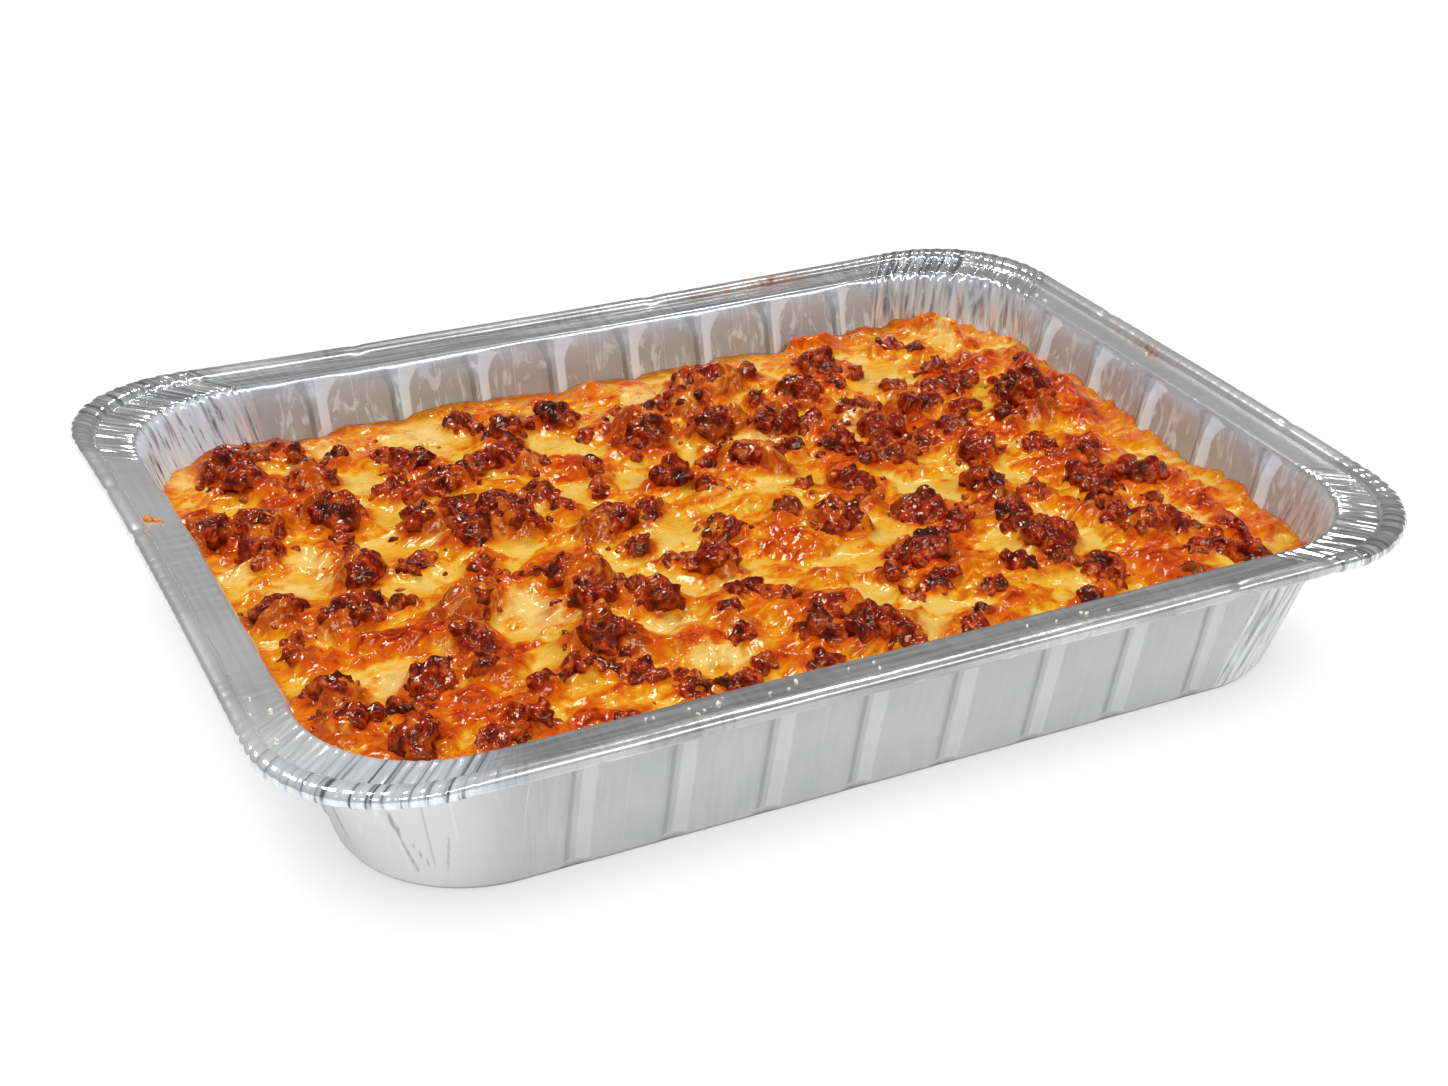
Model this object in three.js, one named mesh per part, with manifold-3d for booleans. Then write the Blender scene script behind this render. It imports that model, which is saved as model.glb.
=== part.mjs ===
// A baked pasta meal in a rolled-rim catering tray of thin foil.
// Millimetres, +Z up. The origin is the middle of the tray's base, +X runs along its length.
// The tray is one shell, the bake fills it as one solid, and each large clump of browned mince
// sits in a pocket of its own, melted into the top of the bake.
import * as THREE from "three";
import { mergeVertices } from "three/addons/utils/BufferGeometryUtils.js";
import Module from "manifold-3d";

const wasm = await Module();
wasm.setup();

// ---------- driving dimensions ----------
const LENGTH = 325; // over the rolled rim
const WIDTH = 250;
const HEIGHT = 50; // base to the crown of the rolled rim
const FLANGE_WIDTH = 14.5; // outer edge of the rim to the mouth of the pan
const TAPER = 11.7; // how far each wall leans in from the mouth to the base
const SHEET = 0.7; // thickness of the shell
const RIM_RADIUS = 38; // plan radius of the rim's corners
const MOUTH_RADIUS = 35;
const BASE_RADIUS = 34;
const CORNER_STEPS = 10; // facets round a corner of the tray; a multiple of the food's
const FOOD_CORNER_STEPS = 5;

// ribs pressed into the walls, with the panels between them pressed out
const LONG_RIBS = [-91, -65, -39, -13, 13, 39, 65, 91];
const SHORT_RIBS = [-58, -29, 0, 29, 58];
const RIB_HALF_WIDTH = 4.2;
const RIB_FLOOR_HALF_WIDTH = 1.6;
const PANEL_OUT = 0.8;
const RIB_IN = 0.8;
const RIB_BOTTOM = 3.5;
const RIB_TOP = 38;
const BAND_BOTTOM = 41.5; // the plain band between the ribs and the mouth
const PLEAT = 0.35; // the gathered foil round the rim's corners

// a used tray is a little bent: each rim corner is pushed (x, y) by so much
const CORNER_PUSH = [
  { sx: 1, sy: 1, push: [-1, 2.5] },
  { sx: -1, sy: 1, push: [-6, 6] },
  { sx: -1, sy: -1, push: [-0.5, 0.5] },
  { sx: 1, sy: -1, push: [-3.5, 1] },
];
const PUSH_FALLOFF = 4; // higher keeps the bend closer to its corner
const BACK_BOW = -1.5; // the back rim's middle leans in

// the food
const GAP = 0.35; // between touching pieces
const GROWTH = 0.5; // a pocket is its clump grown by this, which leaves the gap on sloping faces
const LEVEL = 29; // height of the food along the walls
const DOME = 3.5; // how much higher the middle stands
const GRID_STEP = 12; // spacing of the facets of the top

// ---------- seeded random numbers ----------
function makeRandom(seed) {
  const modulus = 2147483647;
  const multiplier = 16807;
  let state = seed;
  return () => {
    state = (state * multiplier) % modulus;
    return state / modulus;
  };
}

// ---------- closed loops and lofts ----------
// A loop is a list of { x, y, z, t }, anticlockwise from above. t runs from 0 to 4, one unit for
// each corner and the side after it, so loops with unlike numbers of points still match up.
const SIDES = [
  { centre: [1, 1], from: 0, ribs: [...LONG_RIBS].reverse(), along: "x", sign: -1, half: LENGTH / 2 },
  { centre: [-1, 1], from: 90, ribs: [...SHORT_RIBS].reverse(), along: "y", sign: -1, half: WIDTH / 2 },
  { centre: [-1, -1], from: 180, ribs: LONG_RIBS, along: "x", sign: 1, half: LENGTH / 2 },
  { centre: [1, -1], from: 270, ribs: SHORT_RIBS, along: "y", sign: 1, half: WIDTH / 2 },
];

function cornerPoints(side, index, { inset, z, radius, pleat = 0, pleatLift = 0 }, steps) {
  const points = [];
  const cx = side.centre[0] * (LENGTH / 2 - inset - radius);
  const cy = side.centre[1] * (WIDTH / 2 - inset - radius);
  for (let k = 0; k <= steps; k += 1) {
    const angle = THREE.MathUtils.degToRad(side.from + (90 * k) / steps);
    const inside = k > 0 && k < steps;
    const fold = inside ? (k % 2 ? 1 : -1) : 0;
    const r = radius + fold * pleat;
    points.push({
      x: cx + r * Math.cos(angle),
      y: cy + r * Math.sin(angle),
      z: z + fold * pleatLift,
      t: index + (0.5 * k) / steps,
    });
  }
  return points;
}

// Points along the side after a corner: one at each rib, or four where the rib has relief.
function sidePoints(side, index, { inset, z, ribs = 0 }) {
  const steps = ribs
    ? [
        [-RIB_HALF_WIDTH, -PANEL_OUT],
        [-RIB_FLOOR_HALF_WIDTH, RIB_IN],
        [RIB_FLOOR_HALF_WIDTH, RIB_IN],
        [RIB_HALF_WIDTH, -PANEL_OUT],
      ]
    : [[0, 0]];
  const points = [];
  for (const rib of side.ribs) {
    for (const [offset, relief] of steps) {
      const along = rib + offset * side.sign;
      const depth = inset + relief * ribs;
      const travelled = (along * side.sign + side.half) / (2 * side.half);
      const across = side.along === "x" ? side.centre[1] * (WIDTH / 2 - depth)
        : side.centre[0] * (LENGTH / 2 - depth);
      points.push({
        x: side.along === "x" ? along : across,
        y: side.along === "x" ? across : along,
        z,
        t: index + 0.5 + 0.5 * travelled,
      });
    }
  }
  return points;
}

function loop(station, cornerSteps) {
  const relief = (station.ribs ?? 0) * PANEL_OUT;
  const corner = { ...station, inset: station.inset - relief };
  return SIDES.flatMap((side, index) => [
    ...cornerPoints(side, index, corner, cornerSteps),
    ...sidePoints(side, index, station),
  ]);
}

function zip(lower, upper, lowerStart, upperStart, faces) {
  let a = 0;
  let b = 0;
  const at = (start, points, k) => start + (k % points.length);
  const next = (points, k) => (k + 1 < points.length ? points[k + 1].t : 4 + (k + 1 - points.length));
  while (a < lower.length || b < upper.length) {
    const stepLower = b >= upper.length || (a < lower.length && next(lower, a) <= next(upper, b));
    if (stepLower) {
      faces.push(at(lowerStart, lower, a), at(lowerStart, lower, a + 1), at(upperStart, upper, b));
      a += 1;
    } else {
      faces.push(at(lowerStart, lower, a), at(upperStart, upper, b + 1), at(upperStart, upper, b));
      b += 1;
    }
  }
}

// A closed solid through the stations, from a flat cap on the first to a flat cap on the last.
function loft(stations, cornerSteps) {
  const loops = stations.map((station) => loop(station, cornerSteps));
  const positions = [];
  const faces = [];
  const starts = [];
  for (const points of loops) {
    starts.push(positions.length / 3);
    for (const p of points) positions.push(p.x, p.y, p.z);
  }
  for (let k = 0; k + 1 < loops.length; k += 1) zip(loops[k], loops[k + 1], starts[k], starts[k + 1], faces);
  const cap = (index, turned) => {
    const points = loops[index];
    const centre = positions.length / 3;
    positions.push(0, 0, stations[index].z);
    points.forEach((_, k) => {
      const here = starts[index] + k;
      const there = starts[index] + ((k + 1) % points.length);
      faces.push(centre, turned ? there : here, turned ? here : there);
    });
  };
  cap(0, true);
  cap(loops.length - 1, false);
  return meshGeometry(positions, faces);
}

function meshGeometry(positions, faces) {
  const geometry = new THREE.BufferGeometry();
  geometry.setAttribute("position", new THREE.Float32BufferAttribute(positions, 3));
  geometry.setIndex(faces);
  return geometry;
}

// ---------- to and from solids that can be cut and joined ----------
function toSolid(geometry) {
  const bare = geometry.clone();
  bare.deleteAttribute("normal");
  bare.deleteAttribute("uv");
  const merged = mergeVertices(bare, 1e-4);
  return new wasm.Manifold(new wasm.Mesh({
    numProp: 3,
    vertProperties: new Float32Array(merged.attributes.position.array),
    triVerts: new Uint32Array(merged.index.array),
  }));
}

function toGeometry(solid) {
  const mesh = solid.getMesh();
  return meshGeometry(Array.from(mesh.vertProperties), Array.from(mesh.triVerts));
}

// ---------- the tray ----------
const wallInset = (z) => FLANGE_WIDTH + 0.3 + (TAPER * (HEIGHT - 3.5 - z)) / (HEIGHT - 3.5);
const wallRadius = (z) => THREE.MathUtils.lerp(BASE_RADIUS, MOUTH_RADIUS, z / HEIGHT);
const wall = (z, extra = 0, ribs = 0) => ({ inset: wallInset(z) + extra, z, radius: wallRadius(z), ribs });

// The rim's section, from under the flange, round the rolled edge and back to the mouth.
const RIM_SECTION = [
  { inset: 5.2, z: 46.6 },
  { inset: 3.2, z: 45.6, pleat: PLEAT },
  { inset: 1.2, z: 45.9, pleat: PLEAT },
  { inset: 0, z: 47.6, pleat: PLEAT },
  { inset: 0.6, z: 49.2, pleat: PLEAT },
  { inset: 2.4, z: HEIGHT, pleatLift: -PLEAT / 2 },
  { inset: 4.4, z: 49.2, pleatLift: PLEAT },
  { inset: 5.8, z: 47.6, pleatLift: PLEAT },
  { inset: FLANGE_WIDTH - 0.8, z: 47.5, pleatLift: PLEAT },
];

const rimRadius = (inset) => THREE.MathUtils.lerp(RIM_RADIUS, MOUTH_RADIUS, inset / FLANGE_WIDTH);

function trayStations() {
  const outside = [
    { inset: wallInset(0) + 2, z: 0, radius: BASE_RADIUS - 2 },
    wall(1.2, 0, 0.5),
    wall(RIB_BOTTOM, 0, 1),
    wall(RIB_TOP, 0, 1),
    wall(BAND_BOTTOM),
    wall(46),
  ];
  const inside = [
    wall(46.4, SHEET),
    wall(BAND_BOTTOM, SHEET),
    wall(RIB_TOP, SHEET, 1),
    wall(RIB_BOTTOM, SHEET, 1),
    wall(1.2 + SHEET, SHEET, 0.5),
    { inset: wallInset(0) + 2 + SHEET, z: SHEET, radius: BASE_RADIUS - 2 },
  ];
  const rim = RIM_SECTION.map((station) => ({ ...station, radius: rimRadius(station.inset) }));
  return [...outside, ...rim, ...inside];
}

// The room inside the tray, clear of its shell by the gap, up to the mouth.
function roomStations() {
  const clear = SHEET + GAP;
  return [
    { inset: wallInset(0) + 2.2 + clear, z: clear, radius: BASE_RADIUS - 2 },
    wall(1.2 + clear, clear + 0.2, 0.5),
    wall(RIB_BOTTOM, clear, 1),
    wall(RIB_TOP, clear, 1),
    wall(BAND_BOTTOM, clear),
    wall(46, clear),
  ];
}

// ---------- the top of the bake ----------
// Soft swells of molten cheese: broad ones drawn by a seeded rule, then the ones that stand out.
const SWELL_COUNT = 90;
const NAMED_SWELLS = [
  { x: 2, y: -72, reach: 15, rise: 3.2 }, // the browned ridge near the front
  { x: -72, y: -62, reach: 13, rise: 2.2 },
  { x: 96, y: -72, reach: 14, rise: 2.4 },
  { x: 118, y: 92, reach: 9, rise: 3.4 }, // a sheet of pasta lifted in the back corner
  { x: 124, y: 40, reach: 16, rise: 2.6 },
  { x: -60, y: 18, reach: 15, rise: 1.8 },
  { x: 80, y: 96, reach: 8, rise: 2.6 },
  { x: -112, y: 88, reach: 14, rise: 2.2 },
  { x: 100, y: 70, reach: 15, rise: -1.8 },
  { x: -70, y: -36, reach: 12, rise: -1.6 },
  { x: 18, y: -46, reach: 13, rise: -1.6 },
];

function makeSwells() {
  const random = makeRandom(4242);
  const swells = [...NAMED_SWELLS];
  for (let k = 0; k < SWELL_COUNT; k += 1) {
    swells.push({
      x: (random() - 0.5) * 290,
      y: (random() - 0.5) * 216,
      reach: 6 + 12 * random(),
      rise: 4 * (random() - 0.5),
    });
  }
  return swells;
}

const SWELLS = makeSwells();

function topHeight(x, y) {
  const u = x / (LENGTH / 2 - FLANGE_WIDTH);
  const v = y / (WIDTH / 2 - FLANGE_WIDTH);
  const dome = DOME * Math.max(0, 1 - u ** 4) * Math.max(0, 1 - v ** 4);
  const swells = SWELLS.reduce((sum, s) => {
    const near = ((x - s.x) ** 2 + (y - s.y) ** 2) / s.reach ** 2;
    return near < 9 ? sum + s.rise * Math.exp(-near) : sum;
  }, 0);
  return LEVEL + dome + swells;
}

// A block whose upper face is the faceted top, with its lower face below the tray's floor.
function topBlock() {
  const random = makeRandom(977);
  const halfX = LENGTH / 2 - FLANGE_WIDTH + 2;
  const halfY = WIDTH / 2 - FLANGE_WIDTH + 2;
  const nx = Math.round((2 * halfX) / GRID_STEP);
  const ny = Math.round((2 * halfY) / GRID_STEP);
  const jitter = 0.28 * GRID_STEP;
  const floor = -5;
  const positions = [];
  const faces = [];
  for (let j = 0; j <= ny; j += 1) {
    for (let i = 0; i <= nx; i += 1) {
      const edge = i === 0 || j === 0 || i === nx || j === ny;
      const dx = edge ? 0 : jitter * (2 * random() - 1);
      const dy = edge ? 0 : jitter * (2 * random() - 1);
      const x = -halfX + (2 * halfX * i) / nx + dx;
      const y = -halfY + (2 * halfY * j) / ny + dy;
      positions.push(x, y, topHeight(x, y));
    }
  }
  const id = (i, j) => j * (nx + 1) + i;
  for (let j = 0; j < ny; j += 1) {
    for (let i = 0; i < nx; i += 1) {
      faces.push(id(i, j), id(i + 1, j), id(i + 1, j + 1), id(i, j), id(i + 1, j + 1), id(i, j + 1));
    }
  }
  const border = [];
  for (let i = 0; i < nx; i += 1) border.push(id(i, 0));
  for (let j = 0; j < ny; j += 1) border.push(id(nx, j));
  for (let i = nx; i > 0; i -= 1) border.push(id(i, ny));
  for (let j = ny; j > 0; j -= 1) border.push(id(0, j));
  const low = positions.length / 3;
  for (const k of border) positions.push(positions[3 * k], positions[3 * k + 1], floor);
  const centre = positions.length / 3;
  positions.push(0, 0, floor);
  border.forEach((k, n) => {
    const m = (n + 1) % border.length;
    faces.push(low + n, low + m, border[m], low + n, border[m], k);
    faces.push(centre, low + m, low + n);
  });
  return toSolid(meshGeometry(positions, faces));
}

// ---------- clumps of browned mince ----------
// Each row is a clump: x, y, length, width and the turn of its length in degrees.
const CLUMPS = [
  // along the back
  [-124, 87, 13, 10, 40], [-119, 74, 13, 10, -10], [-102, 67, 13, 11, 80], [-73, 66, 13, 9, 10],
  [-39, 75, 12, 10, 30], [-23, 76, 12, 10, 0], [30, 82, 19, 15, 0], [19, 67, 13, 11, 70],
  [71, 78, 13, 11, 90], [56, 62, 13, 12, 90],
  // left of the middle
  [-137, 49, 13, 12, 90], [-123, 44, 15, 14, 0], [-127, 31, 12, 9, -10], [-102, 43, 15, 12, 0],
  [-67, 49, 15, 10, -15], [-44, 55, 15, 11, 90], [-82, 27, 14, 12, 0], [-74, 12, 12, 11, 0],
  [-62, 24, 13, 11, 20], [-58, 11, 12, 10, 20], [-106, 7, 13, 12, 90], [-133, -3, 13, 12, 0],
  [-115, -14, 15, 11, 15], [-88, -24, 18, 11, 15], [-37, 1, 16, 12, 10],
  // middle
  [-3, 53, 18, 15, 35], [18, 47, 15, 13, 0], [36, 41, 13, 11, 0], [-8, 24, 13, 11, 0],
  [20, 21, 17, 12, -50], [39, -2, 12, 10, 0], [-8, -14, 11, 10, 0], [24, -25, 16, 12, 90],
  [-18, -30, 12, 11, 0], [-55, -22, 15, 12, 0], [-54, -35, 15, 10, 0], [-41, -43, 13, 11, 60],
  // right of the middle
  [97, 47, 12, 10, 70], [81, 38, 14, 9, 20], [63, 38, 14, 9, 10], [66, 25, 13, 10, 0],
  [59, 12, 15, 10, 0], [85, 19, 11, 10, 0], [85, 0, 11, 10, 90], [118, 26, 18, 16, 80],
  [50, -27, 15, 12, 40], [73, -20, 12, 10, 0], [121, -33, 15, 11, 20],
  // along the front
  [-131, -48, 12, 11, 90], [-131, -61, 14, 10, 0], [-107, -53, 13, 10, 30], [-63, -59, 16, 11, -30],
  [37, -51, 17, 13, 0], [73, -56, 13, 12, 60], [103, -62, 16, 9, -20], [-120, -79, 14, 13, 80],
  [5, -80, 14, 10, 0],
];
const LARGE_CLUMP = 14.5; // a clump this long or longer has more facets
const CLUMP_LUMPS = 7; // knobs on each clump
const CLUMP_PLUMP = 1.12; // a clump without its knobs, against the size in its row
const SINK = 0.33; // share of a clump's height that lies below the top of the bake

// Smaller crumbs of mince, fused to the top: x, y and size across.
const CRUMBS = [
  [-92, 80, 8], [46, 84, 8], [102, 89, 9], [39, 66, 9], [80, 69, 8], [105, 62, 9], [-81, 53, 10],
  [-56, 58, 9], [85, 54, 9], [107, 40, 8], [-68, 35, 8], [-45, 30, 10], [-28, 28, 8], [35, 26, 8],
  [46, 19, 9], [74, 14, 8], [-91, 5, 8], [-22, 5, 9], [105, -2, 9], [-74, -10, 9], [84, -30, 8],
  [104, -33, 9], [-90, -43, 9], [-82, -52, 9], [69, -40, 9], [57, -66, 9], [32, -68, 10],
  [43, -78, 8], [-78, -66, 8], [-57, -73, 9], [-91, -82, 11], [-46, -77, 9], [-38, -87, 9],
  [-9, -78, 9], [80, -76, 12], [66, -88, 8], [121, -84, 12], [20, -93, 8], [-70, -94, 9],
  [94, -94, 8],
];
const CRUMB_SINK = 0.5;

// Lumps on a clump: each pushes out the part of the surface that faces its own way.
function makeLumps(random) {
  return Array.from({ length: CLUMP_LUMPS }, () => {
    const z = 1.6 * random() - 0.6;
    const angle = 2 * Math.PI * random();
    const flat = Math.sqrt(Math.max(0, 1 - z * z));
    return { way: new THREE.Vector3(flat * Math.cos(angle), flat * Math.sin(angle), z), push: 0.35 * random() };
  });
}

const clumpHeight = (length, width) => 0.5 * Math.sqrt(length * width) + 2.4;

function clumpGeometry([x, y, length, width, turn], seed, growth) {
  const random = makeRandom(seed);
  const lumps = makeLumps(random);
  const height = clumpHeight(length, width);
  const [segments, rings] = length >= LARGE_CLUMP ? [8, 5] : [6, 4];
  const geometry = new THREE.SphereGeometry(1, segments, rings);
  geometry.rotateX(Math.PI / 2);
  const position = geometry.attributes.position;
  const v = new THREE.Vector3();
  const turned = new THREE.Matrix4().makeRotationZ(THREE.MathUtils.degToRad(turn));
  for (let k = 0; k < position.count; k += 1) {
    v.fromBufferAttribute(position, k);
    const swell = lumps.reduce((sum, lump) => sum + lump.push * Math.max(0, v.dot(lump.way)) ** 3, CLUMP_PLUMP);
    v.set((v.x * length) / 2, (v.y * width) / 2, (v.z * height) / 2).multiplyScalar(swell);
    v.setLength(v.length() + growth);
    v.applyMatrix4(turned);
    v.add(new THREE.Vector3(x, y, topHeight(x, y) + (0.5 - SINK) * height));
    position.setXYZ(k, v.x, v.y, v.z);
  }
  return geometry;
}

function crumbGeometry([x, y, size], seed) {
  const random = makeRandom(seed);
  const ball = new THREE.IcosahedronGeometry(size / 2, 0);
  const crumb = mergeVertices(ball.deleteAttribute("normal").deleteAttribute("uv"), 1e-4);
  crumb.rotateZ(2 * Math.PI * random());
  crumb.scale(1 + 0.3 * random(), 1, 0.8);
  const position = crumb.attributes.position;
  const level = topHeight(x, y) + (0.5 - CRUMB_SINK) * 0.8 * size;
  for (let k = 0; k < position.count; k += 1) {
    const swell = 0.9 + 0.35 * random();
    position.setXYZ(
      k,
      x + position.getX(k) * swell,
      y + position.getY(k) * swell,
      level + position.getZ(k) * swell,
    );
  }
  return crumb;
}

// True where a crumb stands clear of every clump.
function clearOfClumps([x, y, size]) {
  return CLUMPS.every(([cx, cy, length, width, turn]) => {
    const angle = THREE.MathUtils.degToRad(-turn);
    const dx = (x - cx) * Math.cos(angle) - (y - cy) * Math.sin(angle);
    const dy = (x - cx) * Math.sin(angle) + (y - cy) * Math.cos(angle);
    return Math.hypot(dx / (0.6 * length + 0.6 * size), dy / (0.6 * width + 0.6 * size)) > 1;
  });
}

function buildFood() {
  const room = toSolid(loft(roomStations(), FOOD_CORNER_STEPS));
  const solids = [];
  let pockets = null;
  CLUMPS.forEach((row, k) => {
    const seed = 1009 + 31 * k;
    let solid = toSolid(clumpGeometry(row, seed, 0)).intersect(room);
    if (pockets) solid = solid.subtract(pockets);
    const grown = toSolid(clumpGeometry(row, seed, GROWTH));
    pockets = pockets ? pockets.add(grown) : grown;
    solids.push(solid);
  });
  let bake = room.intersect(topBlock());
  CRUMBS.filter(clearOfClumps).forEach((row, k) => {
    bake = bake.add(toSolid(crumbGeometry(row, 5003 + 17 * k)).intersect(room));
  });
  return { bake: bake.subtract(pockets), clumps: solids };
}

// ---------- the bend of the used tray ----------
function bend(geometry) {
  const position = geometry.attributes.position;
  for (let k = 0; k < position.count; k += 1) {
    const x = position.getX(k);
    const y = position.getY(k);
    const z = position.getZ(k);
    const u = THREE.MathUtils.clamp((2 * x) / LENGTH, -1, 1);
    const v = THREE.MathUtils.clamp((2 * y) / WIDTH, -1, 1);
    const up = z / HEIGHT;
    let dx = 0;
    let dy = BACK_BOW * Math.max(0, v) ** 2 * (1 - u * u);
    for (const { sx, sy, push } of CORNER_PUSH) {
      const near = (((1 + sx * u) / 2) * ((1 + sy * v) / 2)) ** PUSH_FALLOFF;
      dx += near * push[0];
      dy += near * push[1];
    }
    position.setXYZ(k, x + up * dx, y + up * dy, z);
  }
  return geometry;
}

// ---------- materials ----------
const foil = () => new THREE.MeshStandardMaterial({ color: 0xc6c8ca, roughness: 0.32, metalness: 1 });
const cheese = () => new THREE.MeshStandardMaterial({ color: 0xe8a83e, roughness: 0.38, metalness: 0 });
const mince = () => new THREE.MeshStandardMaterial({ color: 0x6e2410, roughness: 0.35, metalness: 0 });

// ---------- the scene graph ----------
const meal = new THREE.Group();

function place(name, geometry, material) {
  const finished = bend(geometry);
  finished.computeVertexNormals();
  const mesh = new THREE.Mesh(finished, material);
  mesh.name = name;
  meal.add(mesh);
  return mesh;
}

const tray = place("tray", loft(trayStations(), CORNER_STEPS), foil());
const food = buildFood();
place("bake", toGeometry(food.bake), cheese());
food.clumps.forEach((solid, k) => {
  place(`mince_${String(k + 1).padStart(2, "0")}`, toGeometry(solid), mince());
});

// the bend moves the outline, so the group is set back over the middle of the tray
const middle = new THREE.Box3().setFromObject(tray).getCenter(new THREE.Vector3());
meal.position.set(-middle.x, -middle.y, 0);

export default meal;
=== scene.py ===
"""A baked pasta meal in a rolled-rim foil catering tray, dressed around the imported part.

Shapes are worked out in millimetres for a straight tray, and bend() then gives them the bend of
the used one. Food and foil follow the same walls, levels and swells as the solids do.
"""
import math

import bmesh
import bpy
import numpy as np
from mathutils import Matrix, Vector


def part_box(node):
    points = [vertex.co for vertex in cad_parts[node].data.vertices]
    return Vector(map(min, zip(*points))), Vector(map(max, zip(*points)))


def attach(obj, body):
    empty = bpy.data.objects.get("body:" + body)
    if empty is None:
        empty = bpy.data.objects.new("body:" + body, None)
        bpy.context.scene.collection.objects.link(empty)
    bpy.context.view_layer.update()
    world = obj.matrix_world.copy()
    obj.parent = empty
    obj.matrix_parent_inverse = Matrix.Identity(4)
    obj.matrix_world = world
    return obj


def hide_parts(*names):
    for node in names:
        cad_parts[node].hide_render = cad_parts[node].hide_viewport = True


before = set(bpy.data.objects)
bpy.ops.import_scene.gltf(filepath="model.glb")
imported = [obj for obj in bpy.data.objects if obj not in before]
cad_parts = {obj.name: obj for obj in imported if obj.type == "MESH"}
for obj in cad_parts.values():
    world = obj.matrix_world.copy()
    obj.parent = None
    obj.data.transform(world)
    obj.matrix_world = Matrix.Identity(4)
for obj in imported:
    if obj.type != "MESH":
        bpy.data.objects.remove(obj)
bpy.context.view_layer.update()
MM = 0.001

# ---------- driving dimensions, millimetres ----------
LENGTH = 325.0
WIDTH = 250.0
HEIGHT = 50.0
FLANGE_WIDTH = 14.5
TAPER = 11.7  # how much further in the walls stand at the base than at the mouth
MOUTH_LEVEL = HEIGHT - 3.5  # where the walls end and the curve into the flange starts
LIP = 0.3  # how far in that curve reaches
SHEET = 0.5
RIM_RADIUS = 38.0
MOUTH_RADIUS = 35.0
BASE_RADIUS = 34.0
BEAD_RADIUS = 2.75  # half the width of the rolled edge
BEAD_HALF_HEIGHT = 2.25
FLANGE_LEVEL = 47.5

RIBS = (26.0 * (np.arange(8) - 3.5), 29.0 * (np.arange(5) - 2))  # on the long and the short walls
RIB_SHIFT = (2.5, 0.0)  # the pressed ribs sit a little off the solids' even spacing
RIB_ZONE = (96.0, 63.0)  # the columns stay upright this far from the middle of a wall
RIB_HALF_WIDTH = 4.2
RIB_FLOOR_HALF_WIDTH = 1.4
FOOT_FADE = 3.0  # panels and ribs run out over this height above the base
PANEL_OUT = 0.8
RIB_IN = 0.8
PANEL_TOP = 44.0
PANEL_FADE = 10.0  # the panels run out gently towards their tops
RIB_TOP = 45.8
NO_RIB = 40.0  # a distance from the nearest rib that is as good as none
RIB_POINT = 5.0  # the top stretch over which a rib narrows to a point

# how the used tray is bent: the way each corner of its rim is pushed, and the bow of its back
CORNERS = ((1, 1), (-1, 1), (-1, -1), (1, -1))  # signs of x and y, in the order of the columns
CORNER_PUSH = ((-1, 2.5), (-6, 6), (-0.5, 0.5), (-3.5, 1))
PUSH_FALLOFF = 4
BACK_BOW = -1.5

LEVEL = 29.0  # of the food at the walls
DOME = 3.5
TOUCH = 0.15  # the food is pressed this far into the sheet


# ---------- seeded noise ----------
def hash_unit(cell, seed):
    """A fixed number from 0 to 1 for each whole-numbered row of cell."""
    c = cell.astype(np.int64).astype(np.uint32)
    n = c[:, 0] * np.uint32(374761393) + c[:, 1] * np.uint32(668265263)
    n += c[:, 2] * np.uint32(2246822519) + np.uint32(seed * 144665 + 101)
    n = (n ^ (n >> np.uint32(13))) * np.uint32(1274126177)
    n = (n ^ (n >> np.uint32(15))) * np.uint32(2654435761)
    return (n ^ (n >> np.uint32(16))) / 4294967296.0


def noise(p, seed):
    """Smooth noise from -1 to 1, with features about one unit across."""
    base = np.floor(p)
    f = p - base
    f = f * f * f * (f * (f * 6 - 15) + 10)
    total = np.zeros(len(p))
    for corner in np.ndindex(2, 2, 2):
        weight = np.prod(np.where(np.array(corner) == 1, f, 1 - f), axis=1)
        total += weight * hash_unit(base + corner, seed)
    return 2 * total - 1


def layered_noise(p, seed, layers):
    """Noise with finer and weaker noise over it."""
    total = np.zeros(len(p))
    weight, size = 1.0, 1.0
    for k in range(layers):
        total += weight * noise(p * size, seed + k)
        weight *= 0.5
        size *= 2.03
    return total


def cells(p, seed):
    """Distance to the nearest of points scattered one to a unit cell."""
    base = np.floor(p)
    near = np.full(len(p), 9.0)
    for step in np.ndindex(3, 3, 3):
        cell = base + np.array(step) - 1
        centre = cell + np.stack([hash_unit(cell, seed + k) for k in range(3)], 1)
        near = np.minimum(near, np.linalg.norm(p - centre, axis=1))
    return near


def flat(x, y, size):
    """Points of a plane as noise wants them, with features size across."""
    return np.stack([x / size, y / size, np.zeros_like(x)], 1)


def smooth(t):
    t = np.clip(t, 0, 1)
    return t * t * (3 - 2 * t)


# ---------- from the straight tray to the used one ----------
def bend_shift(x, y, z):
    """How far the used tray's bend moves a point, none at the base and most at the rim."""
    u = np.clip(2 * x / LENGTH, -1, 1)
    v = np.clip(2 * y / WIDTH, -1, 1)
    dx = np.zeros_like(x)
    dy = BACK_BOW * np.maximum(0, v) ** 2 * (1 - u * u)
    for (sx, sy), (px, py) in zip(CORNERS, CORNER_PUSH):
        near = ((1 + sx * u) / 2 * (1 + sy * v) / 2) ** PUSH_FALLOFF
        dx = dx + near * px
        dy = dy + near * py
    return np.stack([dx * z / HEIGHT, dy * z / HEIGHT, np.zeros_like(x)], 1)


def bend(p):
    return p + bend_shift(p[:, 0], p[:, 1], p[:, 2])


def unbend(p):
    return p - bend_shift(*(p - bend_shift(p[:, 0], p[:, 1], p[:, 2])).T)


# ---------- columns round the tray ----------
CORNER_COLUMNS = 140
SIDE_COLUMNS = (232, 164)  # of the long and the short sides
CORNER_FADE = 14.0  # how far a corner's pleats run on along the straight sides


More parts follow.
